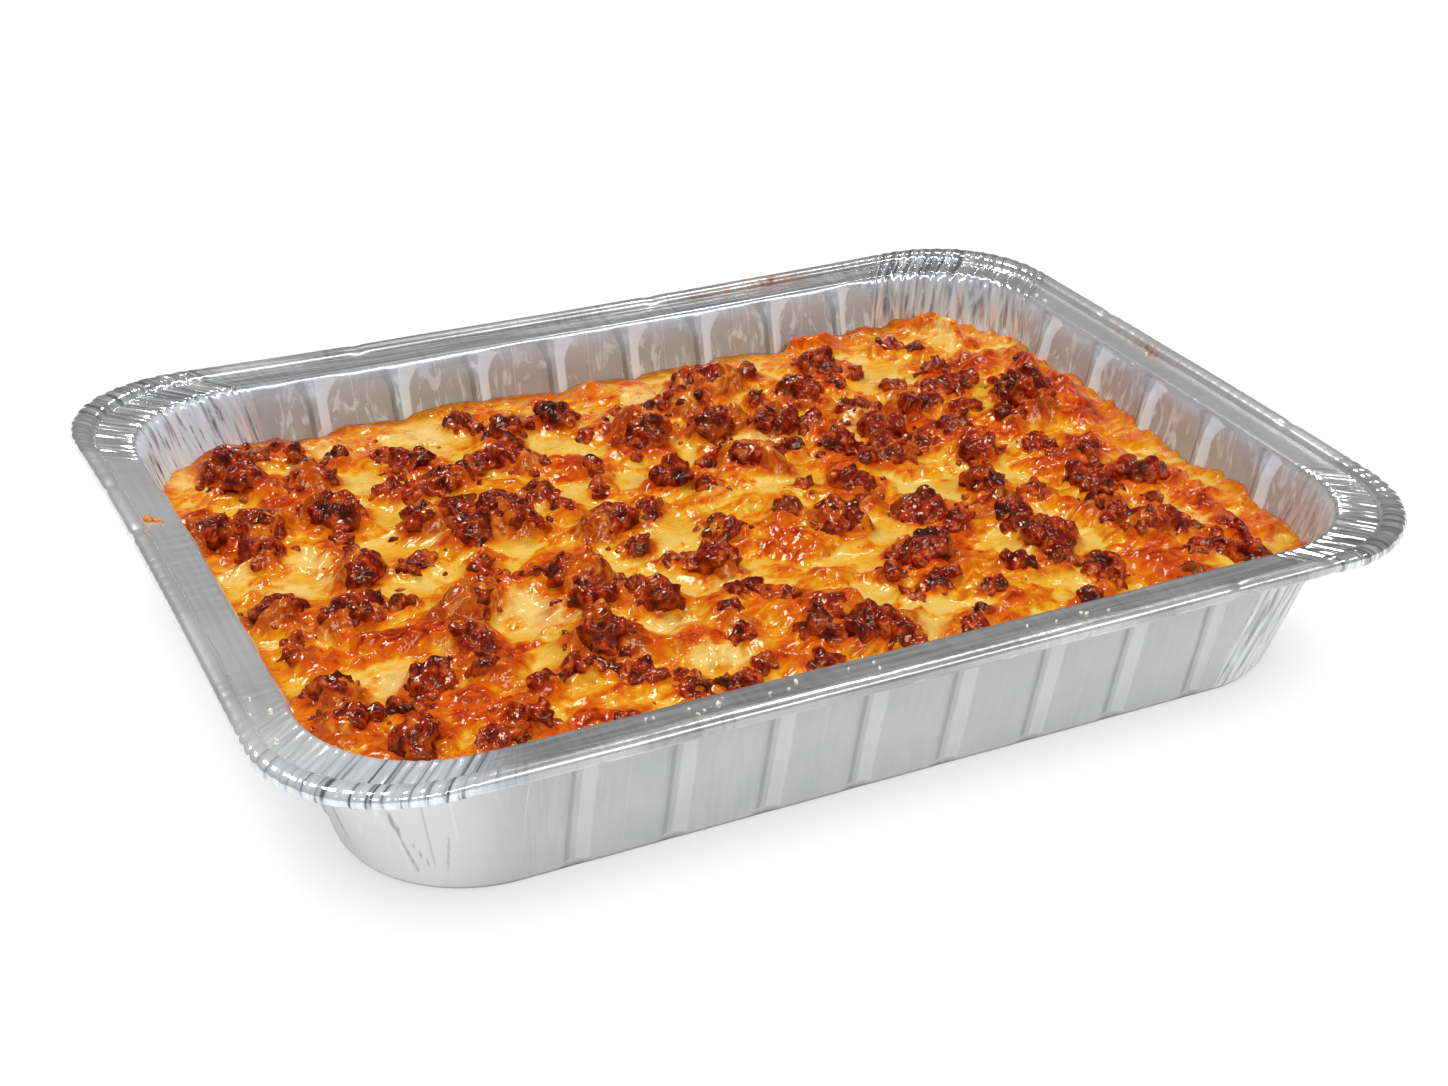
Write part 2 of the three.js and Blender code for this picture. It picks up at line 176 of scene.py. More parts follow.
class Columns:
    """Upright lines round the tray, anticlockwise from the front end of the back right corner."""

    def __init__(self):
        turn, axis, sx, sy, share = [], [], [], [], []
        for k, (cx, cy) in enumerate(CORNERS):
            angles = math.radians(90 * k) + np.linspace(0, math.pi / 2, CORNER_COLUMNS)
            turn.append(angles)
            axis.append(np.full(CORNER_COLUMNS, -1))
            sx.append(np.full(CORNER_COLUMNS, cx))
            sy.append(np.full(CORNER_COLUMNS, cy))
            share.append(np.zeros(CORNER_COLUMNS))
            along = k % 2
            count = SIDE_COLUMNS[along]
            way = -1 if k < 2 else 1
            turn.append(np.full(count, math.radians(90 * (k + 1))))
            axis.append(np.full(count, along))
            sx.append(np.full(count, cx))
            sy.append(np.full(count, cy))
            share.append(way * np.linspace(-1, 1, count + 2)[1:-1])
        self.turn = np.concatenate(turn)
        self.axis = np.concatenate(axis)
        self.sx = np.concatenate(sx).astype(float)
        self.sy = np.concatenate(sy).astype(float)
        self.share = np.concatenate(share)
        self.count = len(self.turn)
        x, y = self.outline(0, RIM_RADIUS)
        steps = np.hypot(np.roll(x, -1) - x, np.roll(y, -1) - y)
        self.around = np.concatenate([[0], np.cumsum(steps)[:-1]])
        self.girth = steps.sum()
        self.rib_side = self.rib_offset()
        self.rib = np.abs(self.rib_side)
        self.corner = self.corner_weight()

    def along(self, inset, radius):
        """Distance from the middle of the wall, for the columns of a straight side."""
        result = np.zeros(len(self.turn))
        for k, half in enumerate((LENGTH / 2, WIDTH / 2)):
            rim = half - RIM_RADIUS
            straight = half - inset - radius
            zone = RIB_ZONE[k]
            inner = np.abs(self.share) * rim
            outer = zone + (inner - zone) / (rim - zone) * (straight - zone)
            here = np.sign(self.share) * np.where(inner < zone, inner, outer)
            result = np.where(self.axis == k, here, result)
        return result

    def outline(self, inset, radius, out=0.0):
        """x and y of every column at one height, pushed outward by out."""
        halves = (LENGTH / 2 - inset, WIDTH / 2 - inset)
        cos, sin = np.cos(self.turn), np.sin(self.turn)
        x = self.sx * (halves[0] - radius) + (radius + out) * cos
        y = self.sy * (halves[1] - radius) + (radius + out) * sin
        along = self.along(inset, radius)
        x = np.where(self.axis == 0, along, x)
        y = np.where(self.axis == 0, sin * (halves[1] + out), y)
        y = np.where(self.axis == 1, along, y)
        x = np.where(self.axis == 1, cos * (halves[0] + out), x)
        return x, y

    def rib_offset(self):
        """Signed distance from the nearest rib, positive to the right and to the front."""
        result = np.full(self.count, NO_RIB)
        along = self.along(0, RIM_RADIUS)
        for k, way in enumerate((1, -1)):
            away = along[:, None] - RIBS[k] - RIB_SHIFT[k]
            nearest = np.abs(away).argmin(1)
            result = np.where(self.axis == k, way * away[np.arange(self.count), nearest], result)
        return result

    def corner_weight(self):
        """1 round the corners, fading to 0 along the straight sides."""
        result = np.where(self.axis < 0, 1.0, 0.0)
        for k, half in enumerate((LENGTH / 2, WIDTH / 2)):
            away = half - RIM_RADIUS - np.abs(self.along(0, RIM_RADIUS))
            result = np.where(self.axis == k, smooth(1 - away / CORNER_FADE), result)
        return result


COLUMNS = Columns()


def wall_inset(z):
    """How far in from the rim the plain wall stands at one height."""
    return FLANGE_WIDTH + LIP + TAPER * (MOUTH_LEVEL - z) / MOUTH_LEVEL


def wall_radius(z):
    return BASE_RADIUS + (MOUTH_RADIUS - BASE_RADIUS) * z / HEIGHT


def rim_radius(inset):
    return RIM_RADIUS + (MOUTH_RADIUS - RIM_RADIUS) * inset / FLANGE_WIDTH


def wall_relief(rib, z):
    """How far the wall stands out of its plain taper: panels out, ribs in."""
    foot = smooth(z / FOOT_FADE)
    panel = PANEL_OUT * foot * smooth((PANEL_TOP - z) / PANEL_FADE)
    narrow = min(1.0, max(0.0, (RIB_TOP - z) / RIB_POINT))
    width = max(RIB_HALF_WIDTH * narrow, 1e-3)
    floor = RIB_FLOOR_HALF_WIDTH * narrow
    depth = RIB_IN * foot * narrow
    groove = np.clip((width - rib) / max(width - floor, 1e-3), 0, 1)
    return panel - (panel + depth) * groove


# ---------- creases in the foil ----------
class Zigzag:
    """Folds of uneven width and height round the whole tray, as crisp as creased foil."""

    def __init__(self, seed, narrow, wide, height):
        rng = np.random.RandomState(seed)
        widths = rng.uniform(narrow, wide, int(2.2 * COLUMNS.girth / (narrow + wide)))
        knots = np.cumsum(widths)
        count = int(np.searchsorted(knots, COLUMNS.girth) // 2 * 2)
        self.knots = knots[:count] * COLUMNS.girth / knots[count]
        self.heights = height * rng.uniform(0.35, 1.0, count) * np.where(np.arange(count) % 2, 1, -1)

    def at(self, around):
        return np.interp(around, self.knots, self.heights, period=COLUMNS.girth)


# seed, narrowest and widest fold, and height
ROLL_FOLDS = Zigzag(11, 1.2, 3.2, 0.34)
FLANGE_FOLDS = Zigzag(12, 0.7, 1.5, 0.19)
BROAD_FOLDS = Zigzag(16, 2.2, 6.0, 0.18)
MOUTH_FOLDS = Zigzag(13, 1.0, 3.0, 0.42)
WALL_FOLDS = Zigzag(14, 0.9, 2.6, 0.5)
LOW_WALL_FOLDS = Zigzag(15, 1.8, 4.4, 0.34)
FLANGE_WAVE = 0.12  # height of the flange's slow waves
FLANGE_WAVE_SIZE = 23.0
DENT = 0.22  # depth of the dents in the gathered walls
DENT_SIZE = 17.0

# how strongly each corner is gathered, in the order of the columns: rim, then wall
CORNER_GATHER = ((1.0, 1.0), (1.0, 1.0), (0.75, 0.03), (0.9, 0.5))
# cross wrinkles on the straight flanges: at the back, left, front and right
SIDE_WRINKLES = (0.34, 0.3, 0.1, 0.26)


def gather(kind):
    """The corner weight scaled by how strongly each corner is gathered."""
    x, y = COLUMNS.outline(0, RIM_RADIUS)
    strength = np.zeros(COLUMNS.count)
    for (sx, sy), pair in zip(CORNERS, CORNER_GATHER):
        strength += np.where((np.sign(x) == sx) & (np.sign(y) == sy), pair[kind], 0)
    return strength * COLUMNS.corner


def side_wrinkles():
    """How strongly the straight flanges are wrinkled across, patch by patch."""
    sides = ((0, COLUMNS.sy > 0), (1, COLUMNS.sx < 0), (0, COLUMNS.sy < 0), (1, COLUMNS.sx > 0))
    total = np.zeros(COLUMNS.count)
    for (axis, here), strength in zip(sides, SIDE_WRINKLES):
        total += np.where((COLUMNS.axis == axis) & here, strength, 0)
    patch = smooth(0.6 + 0.9 * noise(flat(COLUMNS.around, np.zeros(COLUMNS.count), 26.0), 18))
    return total * patch * (1 - COLUMNS.corner)


RIM_GATHER = gather(0) + side_wrinkles()
WALL_GATHER = gather(1)

# single creases of the walls, millimetres
CREASES_PER_CORNER = 24
CREASE_REACH = 46.0  # how far the single creases lie from the middle of their corner
CREASE_SLANT = 0.42  # most they lean, sideways for each unit up
CREASE_DEPTHS = (0.12, 0.4)
CREASE_WIDTHS = (0.4, 0.75)
CREASE_ENDS = (4, 46)  # the heights they lie between


def crease_lines(z):
    """Long single creases that slant down the walls near the corners."""
    rng = np.random.RandomState(77)
    total = np.zeros(COLUMNS.count)
    long_side, short_side = (CORNER_COLUMNS + count for count in SIDE_COLUMNS)
    for first in np.cumsum([0, long_side, short_side, long_side]):
        middle = COLUMNS.around[first + CORNER_COLUMNS // 2]
        for _ in range(CREASES_PER_CORNER):
            place = middle + rng.uniform(-CREASE_REACH, CREASE_REACH)
            slant = rng.uniform(-CREASE_SLANT, CREASE_SLANT)
            low, high = sorted(rng.uniform(*CREASE_ENDS, 2))
            depth = rng.uniform(*CREASE_DEPTHS) * rng.choice([-1, 1])
            width = rng.uniform(*CREASE_WIDTHS)
            away = COLUMNS.around - place - slant * (z - HEIGHT / 2)
            away = (away + COLUMNS.girth / 2) % COLUMNS.girth - COLUMNS.girth / 2
            reach = smooth((z - low + 4) / 5) * smooth((high + 4 - z) / 5)
            total += depth * reach * np.exp(-(away / width) ** 2)
    return total


def wall_creases(z):
    """Outward push of the wall's creases and dents at one height.

    Narrow folds lean one way in the upper part, and broader ones the other way below them.
    """
    around = COLUMNS.around
    high = smooth((z - 16) / 26)
    low = smooth((z - 2) / 12) * (1 - 0.5 * high)
    folds = high * WALL_FOLDS.at(around + 0.12 * (46 - z))
    folds = folds + low * LOW_WALL_FOLDS.at(around - 0.16 * (46 - z))
    dents = DENT * layered_noise(flat(around, np.full_like(around, z), DENT_SIZE), 5, 2)
    fade = smooth(z / 6)
    return WALL_GATHER * folds * fade + crease_lines(z) * fade + dents * smooth(z / 10)


# where the rolled edge is nicked: x, y and depth
NICKS = (
    (-162.5, 55, 0.35), (-162.5, 26, 0.45), (87, -125, 0.45), (118, -125, 0.3),
    (162.5, 44, 0.3), (30, 125, 0.35), (-70, 125, 0.3), (162.5, -50, 0.3),
)
NICK_REACH = 2.2


def nicks():
    x, y = COLUMNS.outline(0, RIM_RADIUS)
    total = np.zeros(COLUMNS.count)
    for nx, ny, depth in NICKS:
        total += depth * np.exp(-((x - nx) ** 2 + (y - ny) ** 2) / NICK_REACH ** 2)
    return total


# heights of the rows of the tray's mesh, up the outside and down the inside
OUTER_LEVELS = (
    0.5, 1.3, 2.4, 3.6, 5.5, 8, 11, 14, 17, 20, 23,
    26, 29, 32, 34.5, 36.5, 38.2, 39.8, 41.2, 43, 45, 46,
)
INNER_LEVELS = (
    45.6, 44.2, 42.6, 41.2, 39.8, 38.2, 36.5, 34.5, 32.5,
    30.5, 28.5, 26.5, 24, 18, 10, 3.6, 1.3 + SHEET,
)
BEAD_ROWS = 16
BEAD_START = 312.0  # degrees round the bead, where it leaves the underside of the flange
BEAD_STEP = 19.5
BEAD_BOX = 0.86  # 1 gives an ellipse, less a squarer section
GROOVE = 5.62  # between the bead and the flange, distance in from the rim
# the rows of the flange: distance in from the rim, and how far its folds give way to the mouth's
FLANGE_ROWS = (
    (5.75, 0.1), (6.0, 0.1), (6.7, 0), (8, 0), (9.4, 0.1), (10.8, 0.35), (12.2, 0.7), (13.4, 1),
)
BASE_EDGE = 2.0  # how far the rounding of the base's edge reaches in


def squarish(value):
    return math.copysign(abs(value) ** BEAD_BOX, value)


def tray_rows():
    """Each row of the tray's mesh as x, y and z of every column, from the base up, over and in.

    Then what each row belongs to: outer, rim, groove or inner, and its distance in from the rim.
    """
    c = COLUMNS
    rows, parts, insets = [], [], []

    def add(part, inset, radius, z, out=0.0, lift=0.0):
        x, y = c.outline(inset, radius, out)
        rows.append(np.stack([x, y, z + lift + np.zeros(c.count)], 1))
        parts.append(part)
        insets.append(inset)

    def add_wall(part, z, extra=0.0):
        add(part, wall_inset(z) + extra, wall_radius(z), z, wall_relief(c.rib, z) + wall_creases(z))

    wave = FLANGE_WAVE * noise(flat(c.around, np.zeros(c.count), FLANGE_WAVE_SIZE), 8)
    fine = 0.03 + RIM_GATHER
    folds = fine * (FLANGE_FOLDS.at(c.around) + BROAD_FOLDS.at(c.around))
    mouth_folds = fine * MOUTH_FOLDS.at(c.around)
    roll = (0.06 + RIM_GATHER) * ROLL_FOLDS.at(c.around)
    bead_relief = 0.5 * (roll + 0.5 * folds) - nicks()

    add("outer", wall_inset(0) + BASE_EDGE, BASE_RADIUS - BASE_EDGE, 0)
    for z in OUTER_LEVELS:
        add_wall("outer", z)
    under = FLANGE_LEVEL - SHEET
    add("rim", FLANGE_WIDTH - 0.2, rim_radius(FLANGE_WIDTH), under - 0.1, 0, mouth_folds + wave)
    for inset in (10, 6.2):
        add("rim", inset, rim_radius(inset), under, 0, folds + wave)
    for step in range(BEAD_ROWS):
        angle = math.radians(BEAD_START - BEAD_STEP * step)
        across = squarish(math.cos(angle))
        up = squarish(math.sin(angle))
        inset = BEAD_RADIUS * (1 + across)
        z = HEIGHT - BEAD_HALF_HEIGHT * (1 - up)
        add("rim", inset, rim_radius(inset), z, -across * bead_relief, up * bead_relief + wave)
    add("groove", GROOVE, rim_radius(GROOVE), FLANGE_LEVEL + 0.35, 0, wave + 0.5 * folds)
    for inset, blend in FLANGE_ROWS:
        lift = (1 - blend) * folds + blend * mouth_folds
        add("rim", inset, rim_radius(inset), FLANGE_LEVEL, 0, lift + wave)
    add("rim", FLANGE_WIDTH - 0.35, MOUTH_RADIUS, FLANGE_LEVEL + 0.06, 0, mouth_folds + wave)
    lift = 0.8 * mouth_folds + wave
    add("rim", FLANGE_WIDTH + 0.1, MOUTH_RADIUS, FLANGE_LEVEL - 0.22, 0.5 * mouth_folds, lift)
    pressed = 0.5 * mouth_folds + 0.4 * wall_creases(OUTER_LEVELS[-1])
    add("inner", FLANGE_WIDTH + 0.5, MOUTH_RADIUS, FLANGE_LEVEL - 0.9, pressed, wave)
    for z in INNER_LEVELS:
        add_wall("inner", z, SHEET)
    add("inner", wall_inset(0) + BASE_EDGE + SHEET, BASE_RADIUS - BASE_EDGE, SHEET)
    return rows, np.array(parts), np.array(insets)


# ---------- meshes ----------
def lattice_faces(rows, columns, closed):
    """Quads of a grid of rows by columns; closed joins the last column to the first."""
    ids = np.arange(rows * columns).reshape(rows, columns)
    if closed:
        ids = np.concatenate([ids, ids[:, :1]], 1)
    quads = np.stack([ids[:-1, :-1], ids[:-1, 1:], ids[1:, 1:], ids[1:, :-1]], -1)
    return quads.reshape(-1, 4)


def new_mesh(name, points_mm, quads, polygons=()):
    """An object from points in the straight tray's millimetres, bent and set in the frame."""
    placed = (bend(points_mm) + SHIFT) * MM
    return new_object(name, placed, quads, polygons)


def new_object(name, points, quads, polygons=()):
    """An object from points in metres and faces, all with as many sides or given as polygons."""
    mesh = bpy.data.meshes.new(name)
    sides = quads.shape[1]
    loops = [quads.ravel()] + [np.array(p) for p in polygons]
    sizes = [sides] * len(quads) + [len(p) for p in polygons]
    corner_ids = np.concatenate(loops).astype(np.int32)
    starts = np.concatenate([[0], np.cumsum(sizes)[:-1]]).astype(np.int32)
    mesh.vertices.add(len(points))
    mesh.vertices.foreach_set("co", points.astype(np.float32).ravel())
    mesh.loops.add(len(corner_ids))
    mesh.loops.foreach_set("vertex_index", corner_ids)
    mesh.polygons.add(len(sizes))
    mesh.polygons.foreach_set("loop_start", starts)
    mesh.polygons.foreach_set("use_smooth", np.ones(len(sizes), bool))
    mesh.update(calc_edges=True)
    obj = bpy.data.objects.new(name, mesh)
    bpy.context.scene.collection.objects.link(obj)
    return obj


def set_attribute(obj, name, values):
    attribute = obj.data.attributes.new(name, "FLOAT", "POINT")
    attribute.data.foreach_set("value", values.astype(np.float32))


def vertex_points(obj):
    points = np.zeros(len(obj.data.vertices) * 3, np.float32)
    obj.data.vertices.foreach_get("co", points)
    return points.reshape(-1, 3).astype(float)


def find_shift():
    """The frame's origin is the middle of the bent rim, so the shape is set back over it."""
    x, y = COLUMNS.outline(0, RIM_RADIUS)
    rim = bend(np.stack([x, y, np.full(COLUMNS.count, HEIGHT - BEAD_HALF_HEIGHT)], 1))
    low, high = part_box("tray")
    middle = np.array((low + high) / 2) / MM
    own = (rim.min(0) + rim.max(0)) / 2
    return np.array([middle[0] - own[0], middle[1] - own[1], 0.0])


SHIFT = find_shift()

# baked-on marks: x, y, half length along x, half length along y, strength
STAINS = (
    (74, 120, 9, 2, 1.0), (60, 119.5, 14, 1.2, 0.6), (84, 119, 5, 3, 0.7),
    (156.5, 16, 1.6, 9, 1.0), (156, 34, 1.2, 14, 0.5), (88, -120, 5, 2, 0.35),
)


class TrayPaint:
    """Values over the tray's points from which its material works out colour and shine."""

    # where the crushed corners on the left begin, along x, to the front and to the back
    CRUSHED_X, CRUSHED_FRONT, CRUSHED_BACK = 100, 64, 60
    CRUSHED_FADE = 26
    CRUSHED = (0.75, 0.9, 0.7)  # how pale the painted light makes the outer wall, the inner wall and the rim there
    SPLASH_AND_REFLECTION_RISE = 1.5  # above the food's level, on average
    SPLASH_AND_REFLECTION_WANDER = 3.5

    def __init__(self, rows, parts, insets, points):
        self.rows = rows
        self.x, self.y, self.z = points.T
        self.part = self.per_row(parts, ("outer", "inner"))
        self.inside = self.part == "inner"
        self.insets = insets

    def per_column(self, values, ends=0.0):
        """One value for each column, and ends at the middles of the two bases."""
        return np.append(np.tile(values, len(self.rows)), [ends, ends])

    def per_row(self, values, ends=(0.0, 0.0)):
        return np.append(np.repeat(values, COLUMNS.count), ends)

    def values(self):
        x, y, z, inside = self.x, self.y, self.z, self.inside
        on_wall = smooth((FLANGE_LEVEL - 0.8 - z) / 1.5)
        gathered = self.per_column(WALL_GATHER) * on_wall + self.per_column(RIM_GATHER) * (1 - on_wall)
        off_ribs = (z > RIB_TOP + 1.3) | (z < 1.5)
        # side and front mark the flanges that get painted light at the sides and painted shade at the
        # front
        side = smooth((np.abs(x) - 120) / 20) * smooth((112 - np.abs(y)) / 20)
        front = smooth((-100 - y) / 8) * smooth((125 - np.abs(x)) / 20)
        return {
            "around": self.per_column(COLUMNS.around),
            "gather": gathered,
            "across": self.per_row(self.insets),
            "wall": smooth((FLANGE_LEVEL - 2.5 - z) / 2),
            "inner": inside * smooth((FLANGE_LEVEL - 0.5 - z) / 0.8),
            "rib": np.where(off_ribs, NO_RIB, self.per_column(COLUMNS.rib_side, NO_RIB)),
            "side": side * (z > FLANGE_LEVEL - 1),
            "front": front * (z > FLANGE_LEVEL - 1) * (z < FLANGE_LEVEL + 0.6),
            # groove, pale and crease carry painted shade in the groove, painted light on the crushed
            # corners, and painted shade and highlight along the creases
            "groove": 1.0 * (self.part == "groove"),
            "bead": smooth((z - FLANGE_LEVEL - 0.5) / 0.8),
            "pale": self.pale(),
            "crease": self.crease(),
            "stain": self.stain(),
            # fat splashed on the inner walls, with a painted reflection of the food
            "splash_and_reflection": self.splash_and_reflection(),
        }

    def pale(self):
        """Painted light on the crushed corners on the left: a paler colour for the light they mirror."""
        z = self.z
        left = smooth((-self.x - self.CRUSHED_X) / self.CRUSHED_FADE)
        left_front = left * smooth((-self.y - self.CRUSHED_FRONT) / self.CRUSHED_FADE)
        left_back = left * smooth((self.y - self.CRUSHED_BACK) / self.CRUSHED_FADE)
        outer = left_front * (~self.inside) * (z < FLANGE_LEVEL - 1.5)
        inner = left_back * self.inside * (z < FLANGE_LEVEL - 0.3)
        rim = left_front * (self.part == "rim") * (z > FLANGE_LEVEL - 1.5)
        return np.max([share * place for share, place in zip(self.CRUSHED, (outer, inner, rim))], axis=0)

    def crease(self):
        """The single creases of the walls, raised or sunk, which the material paints with shade and
        highlight lines.
        """
        levels = np.array([row[:, 2].mean() for row in self.rows])
        below_rim = self.per_row(levels < FLANGE_LEVEL - 0.6)
        return np.concatenate([crease_lines(level) for level in levels] + [[0, 0]]) * below_rim

    def stain(self):
        """The baked-on marks."""
        total = np.zeros(len(self.x))
        for sx, sy, ax, ay, strength in STAINS:
            spot = np.exp(-((self.x - sx) / ax) ** 2 - ((self.y - sy) / ay) ** 2)
            total = np.maximum(total, strength * spot * (self.z > FLANGE_LEVEL - 0.6))
        return total

    def splash_and_reflection(self):
        """Fat on the inner walls with a painted reflection of the food over it, up to a wandering line
        above the food.
        """
        line = LEVEL + self.SPLASH_AND_REFLECTION_RISE + self.SPLASH_AND_REFLECTION_WANDER * noise(flat(self.x, self.y, 11.0), 21)
        return smooth((line + 4 - self.z) / 7) * self.inside * (self.z < 44)


def build_tray():
    rows, parts, insets = tray_rows()
    points = np.concatenate(rows + [np.array([[0, 0, 0.0], [0, 0, SHEET]])])
    count = COLUMNS.count
    quads = lattice_faces(len(rows), count, True)
    low, high = len(rows) * count, len(rows) * count + 1
    last = (len(rows) - 1) * count
    ring = np.arange(count)
    following = (ring + 1) % count
    caps = [(low, b, a) for a, b in zip(ring, following)]
    caps += [(high, last + a, last + b) for a, b in zip(ring, following)]
    tray = new_mesh("foil_tray", points, quads, caps)
    for name, values in TrayPaint(rows, parts, insets, points).values().items():
        set_attribute(tray, name, values)
    return tray


# ---------- the top of the bake ----------
NAMED_SWELLS = (
    (2, -72, 15, 3.2), (-72, -62, 13, 2.2), (96, -72, 14, 2.4), (118, 92, 9, 3.4), (124, 40, 16, 2.6),
    (-60, 18, 15, 1.8), (80, 96, 8, 2.6), (-112, 88, 14, 2.2), (100, 70, 15, -1.8),
    (-70, -36, 12, -1.6), (18, -46, 13, -1.6),
)
SWELL_COUNT = 90
SWELL_SEED = 4242


def park_miller(seed):
    """The same random numbers as the solids draw for their swells."""
    state = seed
    while True:
        state = state * 16807 % 2147483647
        yield state / 2147483647


def make_swells():
    draw = park_miller(SWELL_SEED)
    swells = list(NAMED_SWELLS)
    for _ in range(SWELL_COUNT):
        x = (next(draw) - 0.5) * 290
        y = (next(draw) - 0.5) * 216
        reach = 6 + 12 * next(draw)
        swells.append((x, y, reach, 4 * (next(draw) - 0.5)))
    return swells


SWELLS = make_swells()


def solid_top(x, y):
    """Height of the solid bake's top."""
    u = x / (LENGTH / 2 - FLANGE_WIDTH)
    v = y / (WIDTH / 2 - FLANGE_WIDTH)
    total = LEVEL + DOME * np.maximum(0, 1 - u ** 4) * np.maximum(0, 1 - v ** 4)
    for sx, sy, reach, rise in SWELLS:
        near = ((x - sx) ** 2 + (y - sy) ** 2) / reach ** 2
        total = total + np.where(near < 9, rise * np.exp(-np.minimum(near, 9)), 0)
    return total


# folds in the cheese: a run of points, then how far it reaches to the front and back, and its rise
FOLDS = (
    (((-126, -20), (-112, -29), (-98, -36), (-84, -39)), 3.0, 6.0, 2.2),
    (((-143, -40), (-142, -56), (-136, -68), (-124, -76)), 3.0, 5.0, 1.8),
    (((-126, -51), (-116, -49), (-106, -50)), 4.0, 4.0, -2.0),
    (((-104, -68), (-94, -60), (-78, -54)), 3.0, 6.0, 2.0),
    (((-78, -45), (-66, -48), (-57, -57), (-51, -68)), 3.0, 5.0, 2.2),
    (((-22, -70), (-10, -64), (2, -64), (12, -72)), 3.5, 7.0, 2.6),
    (((-14, -6), (0, -10), (8, -22), (12, -38)), 3.0, 5.0, 1.8),
    (((50, -36), (62, -33), (74, -37), (74, -47)), 3.0, 5.0, 1.8),
    (((36, -74), (44, -58), (54, -54)), 3.0, 4.0, 1.6),
    (((-122, 29), (-113, 29), (-108, 16)), 2.5, 5.0, 1.8),
    (((-127, 67), (-116, 61), (-108, 44), (-90, 35)), 2.0, 5.0, 1.4),
    (((-132, 77), (-120, 75), (-111, 56)), 2.0, 4.0, 1.2),
    (((112, 61), (126, 60), (136, 46), (133, 18), (126, 4)), 5.0, 6.0, 2.6),
    (((44, 28), (54, 41), (66, 44), (75, 32)), 3.5, 6.0, 2.2),
    (((80, 10), (90, 8), (96, -18)), 2.5, 4.0, 1.4),
    (((-42, 38), (-36, 48), (-28, 50), (-22, 38)), 5.0, 6.0, 2.2),
    (((-42, 97), (-20, 98), (0, 101), (24, 98)), 3.0, 4.0, 1.2),
    (((28, 0), (40, 6), (52, 2), (60, -4)), 2.0, 5.0, 1.2),
    (((-60, 92), (-84, 90), (-100, 94)), 3.0, 6.0, 1.0),
    (((94, -20), (104, -14), (118, -18), (130, -10)), 3.0, 5.0, 1.6),
    (((88, -46), (98, -50), (112, -46), (126, -54)), 3.0, 5.0, 1.6),
    (((-46, -58), (-30, -62), (-22, -56)), 2.5, 5.0, 1.2),
    (((72, 101), (80, 103), (92, 102)), 2.4, 2.0, 6.0),
    (((113, 92), (122, 89), (131, 84)), 2.4, 2.2, 5.5),
)
SMALL_FOLD_COUNT = 110


def make_small_folds():
    rng = np.random.RandomState(301)
    folds = []
    for _ in range(SMALL_FOLD_COUNT):
        x, y = rng.uniform(-140, 140), rng.uniform(-102, 102)
        angle = rng.normal(0, 0.55)
        half = rng.uniform(5, 13)
        bow = rng.uniform(-4, 4)
        cos, sin = math.cos(angle), math.sin(angle)
        run = []
        for t in (-1, -0.35, 0.35, 1):
            aside = bow * (1 - t * t)
            run.append((x + t * half * cos - aside * sin, y + t * half * sin + aside * cos))
        front, back = rng.uniform(1.4, 3), rng.uniform(2, 5)
        folds.append((run, front, back, rng.uniform(0.3, 1.1) * rng.choice([1, 1, -0.6])))
    return folds


SMALL_FOLDS = make_small_folds()


def fold_height(x, y, folds):
    """Sum of the folds, each steeper on its front side."""
    total = np.zeros(len(x))
    for run, front, back, rise in folds:
        run = np.array(run, float)
        margin = 3 * max(front, back)
        inside = (x > run[:, 0].min() - margin) & (x < run[:, 0].max() + margin)
        inside &= (y > run[:, 1].min() - margin) & (y < run[:, 1].max() + margin)
        px, py = x[inside], y[inside]
        best = np.full(len(px), 1e9)
        side = np.zeros(len(px))
        place = np.zeros(len(px))
        for k in range(len(run) - 1):
            (ax, ay), (bx, by) = run[k], run[k + 1]
            dx, dy = bx - ax, by - ay
            span = math.hypot(dx, dy)
            t = np.clip(((px - ax) * dx + (py - ay) * dy) / span ** 2, 0, 1)
            away = np.hypot(px - ax - t * dx, py - ay - t * dy)
            closer = away < best
            best = np.where(closer, away, best)
            side = np.where(closer, (px - ax) * dy - (py - ay) * dx, side)
            place = np.where(closer, (k + t) / (len(run) - 1), place)
        reach = np.where(side > 0, front, back)
        ends = smooth(np.minimum(place, 1 - place) * 3.2 + 0.15)
        total[inside] += rise * ends * np.exp(-(best / reach) ** 2)
    return total


class Heap:
    """A patch of mince as an ellipse: its middle, the directions of its axes and its half sizes."""

    def __init__(self, x, y, long, wide, turn):
        angle = math.radians(turn)
        self.centre = np.array([x, y], float)
        self.axes = np.array([[math.cos(angle), math.sin(angle)], [-math.sin(angle), math.cos(angle)]])
        self.half = np.array([long, wide], float)

    def radial(self, x, y):
        """0 in the middle and 1 on the outline."""
        local = np.stack([x - self.centre[0], y - self.centre[1]], 1) @ self.axes.T
        return np.linalg.norm(local / self.half, axis=1)

    def distance(self, x, y):
        """Distance outside the heap's outline, negative within it."""
        return (self.radial(x, y) - 1) * self.half.min()


